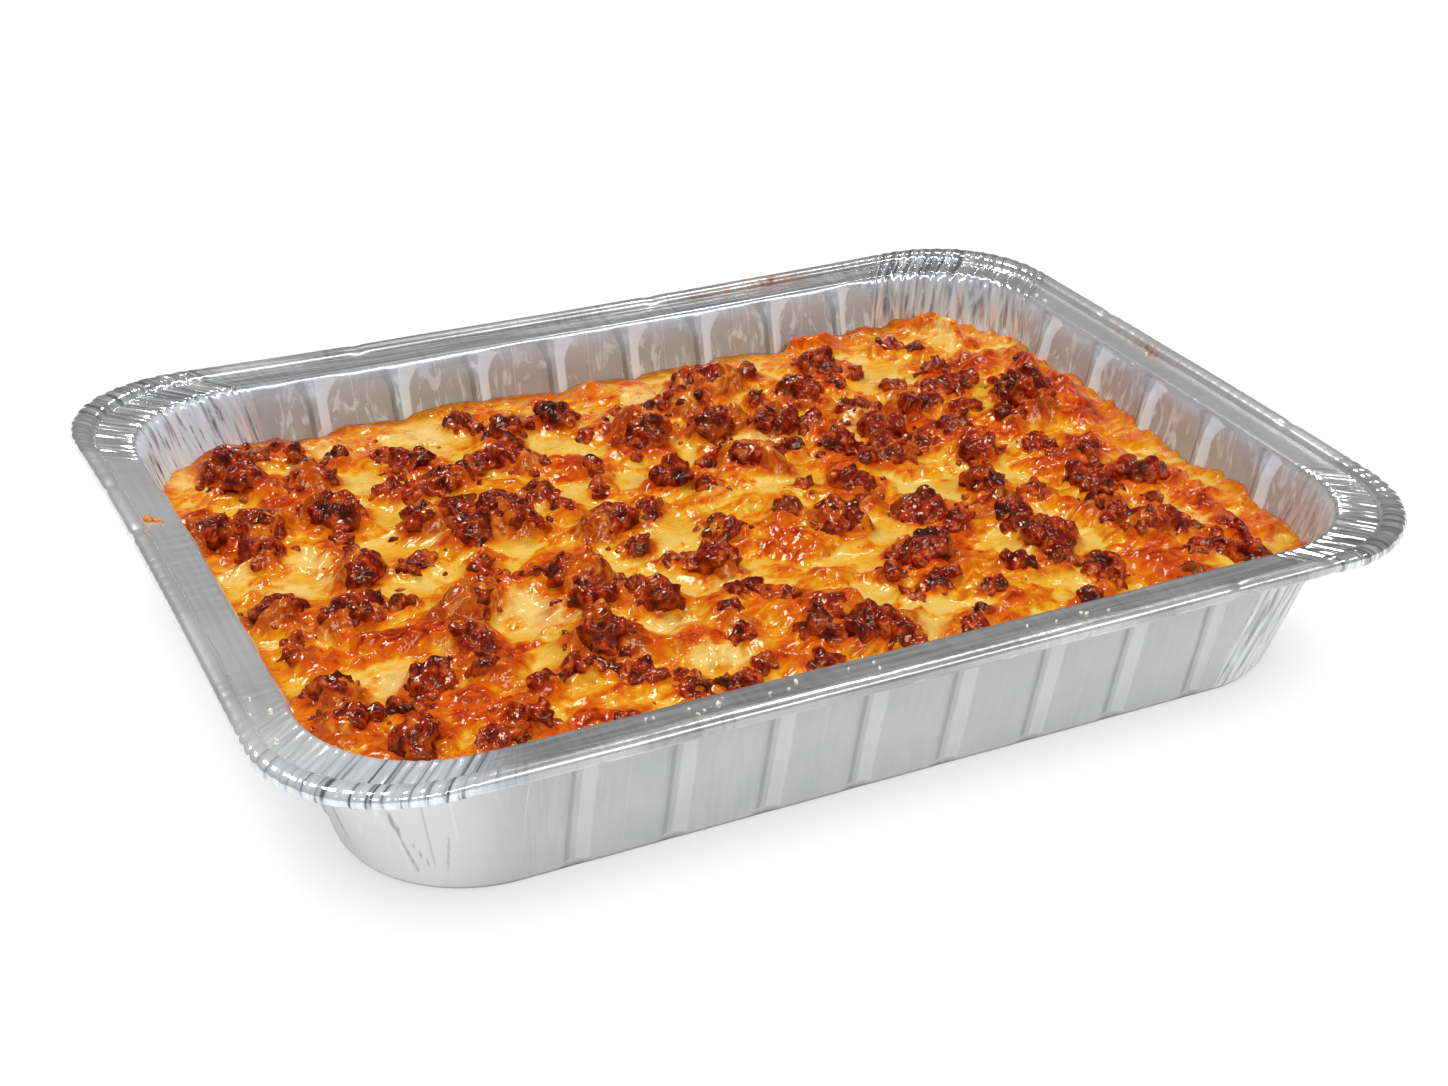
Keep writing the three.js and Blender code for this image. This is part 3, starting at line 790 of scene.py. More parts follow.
class Clump(Heap):
    """One large clump of mince, read from its solid."""

    def __init__(self, node):
        points = unbend(vertex_points(node) / MM - SHIFT)
        spread = points[:, :2] - points[:, :2].mean(0)
        _, _, axes = np.linalg.svd(spread, full_matrices=False)
        self.centre = 0.5 * (points[:, :2].min(0) + points[:, :2].max(0))
        self.axes = axes
        self.half = np.abs(spread @ axes.T).max(0)
        self.points = points
        self.middle = 0.5 * (points.min(0) + points.max(0))
        node.data.calc_loop_triangles()
        self.triangles = np.array([t.vertices for t in node.data.loop_triangles])

    def scatter(self, rng, count):
        """Points spread evenly over the clump's surface."""
        a, b, c = (self.points[self.triangles[:, k]] for k in range(3))
        area = np.linalg.norm(np.cross(b - a, c - a), axis=1)
        pick = rng.choice(len(area), count, p=area / area.sum())
        u, v = rng.uniform(size=(2, count, 1))
        u, v = np.where(u + v > 1, 1 - u, u), np.where(u + v > 1, 1 - v, v)
        return a[pick] + u * (b[pick] - a[pick]) + v * (c[pick] - a[pick])


CLUMPS = [Clump(node) for name, node in sorted(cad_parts.items()) if name.startswith("mince_")]

# low heaps of mince half sunk in the cheese: x, y, half length, half width, turn in degrees
LOW_HEAPS = [Heap(*row) for row in (
    # along the back
    (-121, 96, 8, 4, 50), (-112, 92, 3, 6, 0), (-104, 99, 2, 4, 0), (-101, 84, 2, 6, 0),
    (-92, 80, 3, 2.5, 0), (-78, 75, 5, 2.5, -20), (-50, 87, 2.5, 5, 0), (-46, 81, 4, 3, 60),
    (9, 72, 6, 2.5, 0), (46, 84, 4, 3, 0), (71, 65, 2.5, 5, -20), (80, 70, 2, 5, -20),
    (103, 89, 5, 3, -30), (109, 81, 2, 3, 0), (105, 61, 6, 4, 20), (120, 65, 1.5, 4, -20),
    (136, 57, 1.5, 5, -30), (-6, 73, 4, 1.5, 30), (-17, 63, 4, 1.2, 20),
    # behind the middle
    (-84, 53, 4, 3, 20), (-78, 47, 6, 3, 0), (-55, 56, 6, 5, 0), (-105, 27, 2.5, 6, 0),
    (-69, 34, 5, 5, 0), (-46, 30, 5, 5, 0), (-42, 20, 4, 5, 0), (-28, 27, 3, 6, -15),
    (-24, 39, 2, 5, 15), (8, 31, 2.5, 6, -25), (40, 60, 2.5, 8, -10), (48, 40, 3, 4, 0),
    (34, 25, 4, 4, 0), (46, 20, 6, 6, 0), (70, 17, 6, 3, 0), (86, 54, 4, 5, -20),
    (90, 40, 4, 5, -30), (105, 45, 4, 6, -30), (98, 31, 7, 4, 30), (106, 19, 3, 6, -25),
    # across the middle
    (-91, 6, 5, 5, 0), (-21, 6, 3, 7, -25), (0, 12, 3, 4, 0), (25, 1, 4, 1.5, 0), (51, 8, 3, 2, 0),
    (74, 13, 4, 2.5, 0), (105, -1, 6, 5, 20), (-133, -21, 3, 7, -10), (-103, -13, 5, 2.5, 0),
    (-75, -8, 4, 7, -10), (-66, -16, 4, 2, 20), (-34, -13, 4, 3, 0), (14, -12, 4, 3.5, 0),
    (39, -13, 3, 2, 0), (85, -30, 3, 6, -25), (107, -12, 4, 3, 0), (113, -18, 3, 6, -25),
    (104, -26, 4, 6, -10),
    # before the middle
    (-91, -43, 5, 8, 0), (-41, -34, 6, 4, 20), (-26, -23, 4, 1.5, -20), (-19, -46, 3, 4, -20),
    (-12, -46, 2, 4, 25), (-8, -58, 4, 2, 20), (-25, -55, 3, 2.5, 0), (-27, -64, 2.5, 6, 15),
    (23, -57, 2.5, 5, 0), (54, -38, 6, 2.5, 0), (70, -42, 3.5, 8, -10), (107, -33, 6, 5, 0),
    (99, -45, 6, 3.5, 20), (115, -47, 3, 1.5, 20), (-119, -60, 3, 3, 0), (-111, -62, 3.5, 6, -30),
    (-94, -56, 3, 3, 0),
    # along the front
    (-82, -68, 5, 2.5, 30), (-101, -86, 5, 4, 0), (-91, -82, 6, 6, 0), (-69, -89, 4, 1.5, 0),
    (-72, -65, 5, 2.5, 30), (-61, -72, 8, 3.5, -40), (-49, -82, 4, 7, 0), (-38, -86, 5, 4, 0),
    (-29, -82, 4, 2, 25), (-9, -77, 5, 6, 0), (-3, -69, 5, 3, 0), (9, -87, 6, 3.5, 0),
    (-14, -87, 4, 3, 0), (32, -67, 4, 6, -40), (23, -68, 2, 4, 0), (44, -75, 4, 3, 45),
    (30, -88, 6, 2.5, 20), (56, -66, 5, 4, 0), (70, -67, 4, 6, -30), (78, -78, 5, 8, -20),
    (66, -89, 5, 2.5, 0), (98, -56, 4, 4, 0), (112, -67, 5, 3.5, 0), (108, -79, 2.5, 4, -30),
    (121, -84, 6, 6, 0), (125, -74, 1.5, 6, 20), (116, -78, 2, 5, -20), (99, -89, 5, 2, 0),
)]
HEAPS = CLUMPS + LOW_HEAPS


def clump_rise(x, y):
    """How far the large clumps stand above the solid bake's top."""
    best = np.zeros(len(x))
    for clump in CLUMPS:
        near = (np.abs(x - clump.centre[0]) < 20) & (np.abs(y - clump.centre[1]) < 20)
        rise = clump.points[:, 2].max() - solid_top(*clump.centre)
        dome = rise * np.sqrt(np.clip(1 - clump.radial(x[near], y[near]) ** 2, 0, 1))
        best[near] = np.maximum(best[near], dome)
    return best


def heap_distance(x, y):
    """Distance to the nearest outline of any mince, negative within it."""
    best = np.full(len(x), 99.0)
    for heap in HEAPS:
        near = (np.abs(x - heap.centre[0]) < 24) & (np.abs(y - heap.centre[1]) < 24)
        best[near] = np.minimum(best[near], heap.distance(x[near], y[near]))
    return best


# flat pools of pale cheese: x, y, half length, half width
POOLS = (
    (-124, 60, 10, 5), (-96, 22, 7, 8), (-88, 40, 9, 5), (-86, 62, 6, 8), (-33, 26, 8, 12),
    (-18, 32, 8, 8), (-9, 40, 6, 4), (20, 4, 16, 8), (8, 38, 5, 5), (-22, -6, 7, 5),
    (60, -14, 10, 16), (50, 0, 12, 8), (90, 70, 8, 14), (-118, -55, 7, 4), (36, -26, 6, 14),
    (12, -62, 7, 18), (24, -48, 8, 8), (84, -56, 5, 18), (-30, -34, 6, 8), (-34, -24, 8, 4),
    (-48, -50, 12, 5), (44, 50, 5, 6), (-18, -20, 6, 6), (-66, 3, 5, 5), (10, 30, 4, 6),
    (-98, -5, 14, 6), (20, -86, 7, 8), (60, -80, 6, 8), (-28, 60, 8, 8), (66, 52, 10, 7),
    (34, 62, 5, 7), (-60, 72, 10, 8), (-46, -22, 4, 6), (62, -50, 4, 8), (78, 62, 6, 7),
    (-84, 18, 6, 4),
)
# raised folds and flaps of cream-coloured pasta and cheese
CREAM = (
    (-124, 12, 10, 9), (-116, 24, 6, 8), (-138, 27, 6, 5), (-71, -32, 9, 12), (10, 84, 9, 9),
    (-5, 72, 4, 7), (-92, 90, 5, 7), (-118, -46, 14, 6), (20, 37, 10, 4), (122, 86, 9, 9),
    (-137, 92, 5, 8), (-60, 88, 12, 6), (-44, -56, 10, 5), (58, 30, 6, 5), (-18, -40, 10, 4),
    (62, -62, 4, 6), (-96, 92, 6, 6), (0, 8, 6, 5), (-108, 104, 8, 5), (100, 0, 5, 5),
    (82, -44, 5, 5), (118, -62, 10, 8), (-36, -72, 8, 6),
)
# browned and raised skin
TOASTED = (
    (-110, -31, 12, 6), (-98, -72, 14, 9), (-84, -50, 9, 7), (-62, -60, 10, 6), (6, -32, 8, 12),
    (-2, -66, 14, 5), (52, -46, 10, 8), (70, -36, 8, 5), (98, -78, 14, 10), (132, 34, 6, 22),
    (118, 58, 14, 6), (116, -8, 12, 10), (128, -50, 8, 20), (-112, 58, 8, 8), (-26, 78, 10, 6),
    (64, 42, 10, 4), (-124, 84, 8, 10), (42, -84, 10, 6), (-128, -28, 6, 8), (-30, 44, 6, 9),
    (100, 12, 8, 10), (-30, -66, 8, 6), (40, 60, 5, 8), (-70, 52, 10, 8), (-135, 66, 5, 12),
    (84, 84, 4, 5), (128, 76, 4, 7), (-78, -84, 8, 6), (-16, -80, 8, 8), (98, -44, 8, 6),
    (110, -30, 10, 10), (-10, -50, 8, 6), (80, -16, 5, 12), (-84, 50, 8, 6), (46, 12, 8, 5),
    (78, 30, 6, 10),
)


def patches(x, y, rows, seed):
    """1 in the middle of the patches and 0 clear of them, with wandering edges."""
    wander = 0.5 * layered_noise(flat(x, y, 8.0), seed, 3)
    total = np.zeros(len(x))
    for px, py, rx, ry in rows:
        away = np.hypot((x - px) / rx, (y - py) / ry)
        total = np.maximum(total, smooth(1.25 - away + wander))
    return total


def outline_offsets(x, y):
    """How far a point lies past the middles of the corner arcs, by x and y, and outside the food."""
    radius = wall_radius(LEVEL)
    qx = np.abs(x) - (LENGTH / 2 - wall_inset(LEVEL)) + radius
    qy = np.abs(y) - (WIDTH / 2 - wall_inset(LEVEL)) + radius
    out = np.hypot(np.maximum(qx, 0), np.maximum(qy, 0)) + np.minimum(np.maximum(qx, qy), 0) - radius
    return qx, qy, out


def wall_distance(x, y):
    """Distance inside the food's outline."""
    return np.maximum(-outline_offsets(x, y)[2], 0)


class Surface:
    """The height and the colour values of the bake's upper face at a set of points."""

    POOL_BLEND = 0.3  # how softly the pools meet what rises out of them
    RIGHT_START, RIGHT_FADE = 85, 35  # the right end, where the food stays rough up to the wall
    WANDER = ((2.2, 13.0), (0.9, 4.5))  # how far, and over what size, all outlines wander
    # height, size, stretch towards the front and seed of each layer of lumps
    LUMPS = ((1.5, 10.0, 1.25, 61), (1.3, 5.2, 1.4, 62), (0.55, 2.6, 1.5, 63))

    def __init__(self, x, y):
        edge = wall_distance(x, y)
        (far, broad), (near, small) = self.WANDER
        wx = x + far * noise(flat(x, y, broad), 31) + near * noise(flat(x, y, small), 33)
        wy = y + far * noise(flat(x, y, broad), 32) + near * noise(flat(x, y, small), 34)
        outside = np.maximum(heap_distance(wx, wy), 0)
        toast = patches(x, y, TOASTED, 51)
        self.cream = patches(x, y, CREAM, 55) * (1 - 0.7 * toast)
        lumps = sum(
            rise * noise(flat(wx, stretch * wy, size), seed) for rise, size, stretch, seed in self.LUMPS
        )
        folds = 1.15 * fold_height(wx, wy, FOLDS) + 1.3 * fold_height(wx, wy, SMALL_FOLDS)
        blister = 0.7 * smooth(1 - 1.4 * cells(flat(wx, wy, 3.4), 71)) * (0.1 + toast)
        cling = 1.7 * np.exp(-(outside / 2.4) ** 2)
        self.right = smooth((x - self.RIGHT_START) / self.RIGHT_FADE)
        rim = np.exp(-(edge / 3.6) ** 2) * (1 - 0.8 * self.right)
        climb = 1.3 * np.exp(-(edge / 2.6) ** 2)
        climb = climb * (1 + 0.5 * noise(flat(x, y, 22.0), 83) + 0.5 * noise(flat(x, y, 8.0), 84))
        self.film = smooth(0.25 + 1.5 * noise(flat(x, y, 8.0), 85) + 0.5 * noise(flat(x, y, 3.5), 86))
        drape = clump_rise(wx, wy) * (0.3 + 0.72 * self.film)
        knobs = 1.3 * np.abs(noise(flat(x, y, 3.6), 87)) * self.film * smooth(1 - outside)
        rise = (lumps + folds + blister) * (1 - 0.85 * rim) + climb + 0.5
        rise = rise + 0.9 * toast + 0.5 * self.cream - 2.6 * patches(x, y, POOLS, 41)
        blend = self.POOL_BLEND
        above = blend * np.logaddexp(0, rise / blend)
        self.pool = smooth(0.5 - rise / 0.9) * smooth(outside / 1.2)
        self.film = self.film * smooth(1 - outside / 2.0)
        ridges = 1 - 2.4 * np.abs(noise(flat(wx, 1.5 * wy, 3.0), 65))
        wrinkle = 0.42 * ridges * (1 - self.pool) * (1 - 0.8 * rim)
        self.height = solid_top(x, y) - 0.4 + above + 0.8 * wrinkle + np.maximum(drape, cling) + knobs
        self.tone = self.make_tone(x, y, edge, outside, toast, rise, wrinkle)
        self.oil = self.make_oil(x, y, outside)

    def make_tone(self, x, y, edge, outside, toast, rise, wrinkle):
        """0 is pale, a third yellow, a half orange and 1 dark brown."""
        broad = layered_noise(flat(x, 1.4 * y, 15.0), 91, 2)
        streak = layered_noise(flat(x, 2.2 * y, 5.0), 95, 3)
        pale = 0.13 + 0.06 * broad
        raised = 0.27 + 0.07 * broad + 0.08 * streak + 0.1 * np.clip(rise, 0, 4) - 0.3 * wrinkle
        tone = raised * (1 - self.pool) + pale * self.pool
        tone = tone + 0.16 * np.exp(-((rise - 0.25) / 0.3) ** 2) * smooth(0.5 + streak)
        tone = tone + 0.26 * toast * (1 - self.pool) - 0.3 * self.cream * (1 - self.pool)
        border = 0.85 * np.exp(-(edge / 4.2) ** 2) * (1 - 0.7 * self.right)
        tone = tone * (1 - border) + (0.4 + 0.05 * broad) * border
        tone = tone + 0.3 * np.exp(-(outside / 1.1) ** 2)
        return np.where(tone > 0.66, 0.66 + 0.5 * (tone - 0.66), np.maximum(tone, 0))

    def make_oil(self, x, y, outside):
        """Orange fat that has run out of the mince."""
        spread = 2.0 + 3.6 * smooth(0.4 + 0.8 * noise(flat(x, y, 9.0), 97))
        return smooth(1.15 - outside / spread) * smooth(0.3 + 0.7 * noise(flat(x, y, 14.0), 98))


FOOD_STEP = 0.92  # between the points of the food's top
SKIRT_CELLS = 5  # round the top, which make the walls of the food by these drops
SKIRT_DROPS = np.array([0.0, 0.8, 2.4, 6.0, 14.0, 26.0])


class InnerWall:
    """The inside of the creased wall, for the food that leans against it."""

    STEP = 2.0
    LEVELS = np.arange(0, HEIGHT - 1, STEP)

    def __init__(self):
        self.push = np.stack([wall_relief(COLUMNS.rib, z) + wall_creases(z) for z in self.LEVELS])
        self.x, self.y = COLUMNS.outline(wall_inset(LEVEL), wall_radius(LEVEL))

    def nearest(self, x, y):
        """The column nearest to each point of the wall's outline at the food's level."""
        found = [np.argmin((self.x - a) ** 2 + (self.y - b) ** 2) for a, b in zip(x, y)]
        return np.array(found, int)

    def push_at(self, column, z):
        step = np.clip(z / self.STEP, 0, len(self.LEVELS) - 1.001)
        low = step.astype(int)
        share = step - low
        return self.push[low, column] * (1 - share) + self.push[low + 1, column] * share


def stretched_to(value, half, zone, z):
    """A coordinate of the outline at the food's level, moved to the outline at height z."""
    size = np.abs(value)
    corner = half - wall_inset(LEVEL) - wall_radius(LEVEL)
    corner_there = half - wall_inset(z) - wall_radius(z)
    side = zone + (size - zone) * (corner_there - zone) / (corner - zone)
    turn = corner_there + (size - corner) * wall_radius(z) / wall_radius(LEVEL)
    return np.sign(value) * np.where(size < zone, size, np.where(size < corner, side, turn))


WALL_FOLLOW = 5.0  # how far in from the wall the food takes on its shape
SHRINK = 1.2  # how far the food draws in from the wall deep down and at the floor


def build_bake():
    """The food as one closed body, from its uneven top down the walls to the tray's floor."""
    margin = SKIRT_CELLS * FOOD_STEP
    reach_x = LENGTH / 2 - wall_inset(LEVEL) + margin
    reach_y = WIDTH / 2 - wall_inset(LEVEL) + margin
    nx = int(2 * reach_x / FOOD_STEP)
    ny = int(2 * reach_y / FOOD_STEP)
    grid = np.meshgrid(np.linspace(-reach_x, reach_x, nx), np.linspace(-reach_y, reach_y, ny))
    x, y = (values.ravel() for values in grid)
    qx, qy, out = outline_offsets(x, y)
    quads = lattice_faces(ny, nx, False)
    quads = quads[(out < margin + 0.4)[quads].all(1)]
    used = np.unique(quads)
    renumber = np.full(len(x), -1)
    renumber[used] = np.arange(len(used))
    quads = renumber[quads]
    x, y, out, qx, qy = (v[used] for v in (x, y, out, qx, qy))

    # the way out to the wall at each point
    corner = (qx > 0) & (qy > 0)
    length = np.maximum(np.hypot(qx, qy), 1e-9)
    way_x = np.where(corner, qx / length, (qx > qy)) * np.sign(x)
    way_y = np.where(corner, qy / length, (qx <= qy)) * np.sign(y)
    beyond = np.maximum(out, 0)
    edge_x, edge_y = x - way_x * beyond, y - way_y * beyond
    surface = Surface(edge_x, edge_y)
    z = surface.height - np.interp(beyond / FOOD_STEP, np.arange(len(SKIRT_DROPS)), SKIRT_DROPS)
    z = np.maximum(z, 1.0)

    follow = np.exp(-(np.maximum(-out, 0) / WALL_FOLLOW) ** 2)
    close = follow > 0.02
    wall = InnerWall()
    column = wall.nearest(x[close] - way_x[close] * out[close], y[close] - way_y[close] * out[close])
    push = np.zeros(len(x))
    push[close] = wall.push_at(column, z[close]) - SHEET + TOUCH
    sunk = smooth((surface.height - z - 3) / 20) + smooth((6 - z) / 5)
    push = (push - SHRINK * sunk) * follow
    px = edge_x + (stretched_to(edge_x, LENGTH / 2, RIB_ZONE[0], z) - edge_x) * follow + way_x * push
    py = edge_y + (stretched_to(edge_y, WIDTH / 2, RIB_ZONE[1], z) - edge_y) * follow + way_y * push
    bake = new_mesh("pasta_bake", np.stack([px, py, z], 1), quads)
    edited(bake, close_bottom)
    for name in ("tone", "oil", "pool", "cream", "film"):
        set_attribute(bake, name, getattr(surface, name))
    return bake


def edited(obj, change):
    """Runs change on the object's mesh."""
    mesh = bmesh.new()
    mesh.from_mesh(obj.data)
    change(mesh)
    mesh.to_mesh(obj.data)
    mesh.free()


def close_bottom(mesh):
    """Fills the open lower edge with one flat face."""
    border = [edge for edge in mesh.edges if edge.is_boundary]
    bmesh.ops.holes_fill(mesh, edges=border, sides=0)
    bmesh.ops.recalc_face_normals(mesh, faces=mesh.faces)


# ---------- lumps ----------
def ball():
    """Points and triangles of a ball of radius 1."""
    mesh = bmesh.new()
    bmesh.ops.create_icosphere(mesh, subdivisions=2, radius=1)
    points = np.array([v.co for v in mesh.verts])
    faces = np.array([[v.index for v in f.verts] for f in mesh.faces])
    mesh.free()
    return points, faces


def turn_matrix(rng):
    """A random rotation."""
    q = rng.normal(size=4)
    w, x, y, z = q / np.linalg.norm(q)
    return np.array([
        [1 - 2 * (y * y + z * z), 2 * (x * y - w * z), 2 * (x * z + w * y)],
        [2 * (x * y + w * z), 1 - 2 * (x * x + z * z), 2 * (y * z - w * x)],
        [2 * (x * z - w * y), 2 * (y * z + w * x), 1 - 2 * (x * x + y * y)],
    ])


BOXINESS = 0.45  # 0 gives round lumps, 1 gives blocks


def lumps(places, radii, seed, rough):
    """Points and faces of uneven lumps, one at each place."""
    rng = np.random.RandomState(seed)
    unit, faces = ball()
    boxy = (1 / np.abs(unit).max(1)) ** BOXINESS
    points, triangles = [], []
    for k, (place, radius) in enumerate(zip(places, radii)):
        stretch = rng.uniform(0.6, 1.45, 3)
        uneven = boxy * (1 + rough * noise(unit * 1.4 + 31 * k, seed))
        shape = unit * uneven[:, None] * stretch
        points.append(place + radius * shape @ turn_matrix(rng).T)
        triangles.append(faces + k * len(unit))
    return np.concatenate(points), np.concatenate(triangles)


MOST_TRIANGLES = 190_000  # of one piece of mince


def take_modified(obj):
    """Makes what the object's modifiers give its own mesh."""
    bpy.context.view_layer.update()
    whole = bpy.data.meshes.new_from_object(obj.evaluated_get(bpy.context.evaluated_depsgraph_get()))
    obj.modifiers.clear()
    whole.validate()
    old = obj.data
    obj.data = whole
    bpy.data.meshes.remove(old)
    obj.data.polygons.foreach_set("use_smooth", np.ones(len(whole.polygons), bool))


def merged(obj, voxel):
    """One closed skin round all of an object's overlapping lumps, softened where they meet."""
    modifier = obj.modifiers.new("merge", "REMESH")
    modifier.mode = "VOXEL"
    modifier.voxel_size = voxel * MM
    soften = obj.modifiers.new("soften", "SMOOTH")
    soften.factor = 0.5
    soften.iterations = 3
    take_modified(obj)


def thinned(obj):
    """The same skin with fewer triangles where it is smooth."""
    count = sum(len(face.vertices) - 2 for face in obj.data.polygons)
    modifier = obj.modifiers.new("thin", "DECIMATE")
    modifier.ratio = min(1.0, MOST_TRIANGLES / count)
    take_modified(obj)
    edited(obj, drop_strays)


def drop_strays(mesh):
    """Takes out single faces that thinning has left of the smallest crumbs."""
    strays = [face for face in mesh.faces if any(edge.is_boundary for edge in face.edges)]
    bmesh.ops.delete(mesh, geom=strays, context="FACES")


def torn_depth(points, seed):
    """Ridges and gaps of torn mince, in millimetres."""
    return 0.4 - np.abs(noise(points / 4.6, seed)) - 0.4 * np.abs(noise(points / 2.4, seed + 1))


def roughen(obj, seed):
    """Crumbly knobs and grain on a mince piece, with the values its material wants.

    char is burnt, on the tops; glaze is cheese and fat, lower down; the hollows are marked for the
    material to paint shade in them.
    """
    points = vertex_points(obj) / MM
    normals = np.zeros(points.size, np.float32)
    obj.data.vertex_normals.foreach_get("vector", normals)
    normals = normals.reshape(-1, 3)
    grain = 0.2 * noise(points / 2.6, seed + 10) + 0.1 * noise(points / 1.2, seed + 11)
    moved = points + normals * (torn_depth(points, seed) + grain)[:, None]
    obj.data.vertices.foreach_set("co", (moved * MM).astype(np.float32).ravel())
    obj.data.update()
    thinned(obj)
    points = vertex_points(obj) / MM
    nominal = unbend(points - SHIFT)
    height = nominal[:, 2] - solid_top(nominal[:, 0], nominal[:, 1])
    char = smooth((height - 3.2 + 2.4 * layered_noise(points / 5.0, seed + 20, 2)) / 2.6)
    char = char * smooth(1.6 * noise(points / 8.0, seed + 22) - 0.25)
    glaze = smooth(0.55 + (1.5 - height) / 6.0 + 1.1 * noise(points / 5.0, seed + 24))
    set_attribute(obj, "char", char)
    set_attribute(obj, "glaze", glaze)
    # the hollows between the ridges, where the material paints shade
    set_attribute(obj, "hollow_shade", smooth(0.25 - torn_depth(points, seed)))


def kept_inside(places, radii):
    """The places, with those too near to the tray's wall drawn in towards the middle."""
    short = np.maximum(1.3 * radii + 1.2 - wall_distance(places[:, 0], places[:, 1]), 0)
    drawn = places.copy()
    drawn[:, :2] *= 1 - short[:, None] / 110
    return drawn


# millimetres, but for counts and shares
CORE_SHARE = 0.72  # of its solid's size, the core of a clump under its granules
GRANULES = 19 / 36  # of a clump, for each square millimetre of one half size times the other
GRANULE_PLACES = (0.5, 0.82)  # how far out of the clump's middle they sit, as a share of its size
SMALLEST_GRANULE = 1.5  # radius
GRANULE_RANGE = 1.8
LOW_GRANULE_RADII = (1.0, 2.1)  # in the low heaps
LOW_HEAP_RISE = 0.42  # for each millimetre of a heap's smaller half size
FOOT_CRUMB_RADII = (0.7, 1.7)  # round the feet of the clumps
FOOT_CRUMB_PLACES = (0.95, 1.3)
STRAY_CRUMBS = 120
STRAY_RADII = (0.5, 1.3)
STRAY_X, STRAY_Y = (-138, 138), (-100, 98)
CLUMP_VOXEL = 0.56
CRUMB_VOXEL = 0.5


def build_mince():
    """The large clumps: each solid's own form with granules all over it."""
    rng = np.random.RandomState(505)
    places, radii, cores, core_faces = [], [], [], []
    first = 0
    for clump in CLUMPS:
        core = clump.middle + (clump.points - clump.middle) * CORE_SHARE
        cores.append(core)
        core_faces.append(clump.triangles + first)
        first += len(core)
        count = int(GRANULES * clump.half.prod())
        spots = clump.scatter(rng, count)
        spots = clump.middle + (spots - clump.middle) * rng.uniform(*GRANULE_PLACES, (count, 1))
        places.append(spots)
        radii.append(SMALLEST_GRANULE + GRANULE_RANGE * rng.uniform(0, 1, count) ** 1.5)
    radii = np.concatenate(radii)
    granule_points, granule_faces = lumps(kept_inside(np.concatenate(places), radii), radii, 515, 0.5)
    points = np.concatenate(cores + [granule_points])
    faces = np.concatenate(core_faces + [granule_faces + first])
    mince = new_mesh("browned_mince", points, faces)
    merged(mince, CLUMP_VOXEL)
    roughen(mince, 525)
    return mince


def random_way(rng):
    angle = rng.uniform(0, 2 * math.pi)
    return np.array([math.cos(angle), math.sin(angle)])


def low_granules():
    """Granules of the low heaps, round the clumps' feet and strays: x, y, lift and radius."""
    rng = np.random.RandomState(606)
    spots = []
    for heap in LOW_HEAPS:
        long, wide = heap.half
        for _ in range(int(0.6 * long * wide) + 5):
            radial = math.sqrt(rng.uniform(0, 1)) * 1.08
            offset = random_way(rng) * radial * heap.half
            x, y = heap.centre + offset @ heap.axes
            lift = LOW_HEAP_RISE * min(long, wide) * (1 - radial * radial)
            spots.append((x, y, lift, rng.uniform(*LOW_GRANULE_RADII)))
    for clump in CLUMPS:
        for _ in range(rng.randint(3, 7)):
            offset = random_way(rng) * clump.half * rng.uniform(*FOOT_CRUMB_PLACES)
            x, y = clump.centre + offset @ clump.axes
            spots.append((x, y, 0.2, rng.uniform(*FOOT_CRUMB_RADII)))
    for _ in range(STRAY_CRUMBS):
        spots.append((rng.uniform(*STRAY_X), rng.uniform(*STRAY_Y), 0, rng.uniform(*STRAY_RADII)))
    return np.array(spots)


def build_crumbs():
    spots = low_granules()
    x, y, lift, radius = spots.T
    inside = wall_distance(x, y) > 1.4 * radius + 0.6
    x, y, lift, radius = spots[inside].T
    rng = np.random.RandomState(616)
    z = Surface(x, y).height + lift + rng.uniform(-0.7, 0.1, len(x)) * radius - 0.4
    points, faces = lumps(np.stack([x, y, z], 1), radius, 626, 0.5)
    crumbs = new_mesh("mince_crumbs", points, faces)
    merged(crumbs, CRUMB_VOXEL)
    roughen(crumbs, 636)
    return crumbs


# pale specks on the flange: x and y
SPECKS = (
    (-64, -114), (-75, -114), (-73, -114), (-63, -117), (-61, -116), (-55, -113), (-57, -115),
    (-44, -116), (-39, -116), (-36, -114), (-22, -114), (-15, -114), (-15, -117), (28, -115),
    (36, -116), (44, -115), (45, -116), (51, -117), (-159, 87), (-152, -73), (-155, -66),
    (-157, -73), (-154, -86), (151, 72), (151, 67), (144, 15), (146, 10), (155, 15),
)
SPECK_SIZES = (0.28, 0.6)
# the orange sliver: x, y and radius of its lumps
SLIVER = ((-157.5, 35.2, 0.75), (-155.6, 34.2, 1.0), (-153.8, 32.9, 0.95), (-152.4, 31.8, 0.6))


def build_specks():
    rng = np.random.RandomState(707)
    x, y = np.array(SPECKS, float).T
    level = FLANGE_LEVEL + 0.15
    specks = np.stack([x, y, np.full(len(x), level)], 1)
    sizes = rng.uniform(*SPECK_SIZES, len(x))
    sliver = np.array([(sx, sy, level + 0.2) for sx, sy, _ in SLIVER])
    places = np.concatenate([specks, sliver])
    radii = np.concatenate([sizes, [radius for _, _, radius in SLIVER]])
    points, faces = lumps(places, radii, 717, 0.3)
    crumbs = new_mesh("flange_specks", points, faces)
    share = np.repeat(np.arange(len(places)) >= len(specks), len(points) // len(places))
    set_attribute(crumbs, "orange", share.astype(float))
    return crumbs


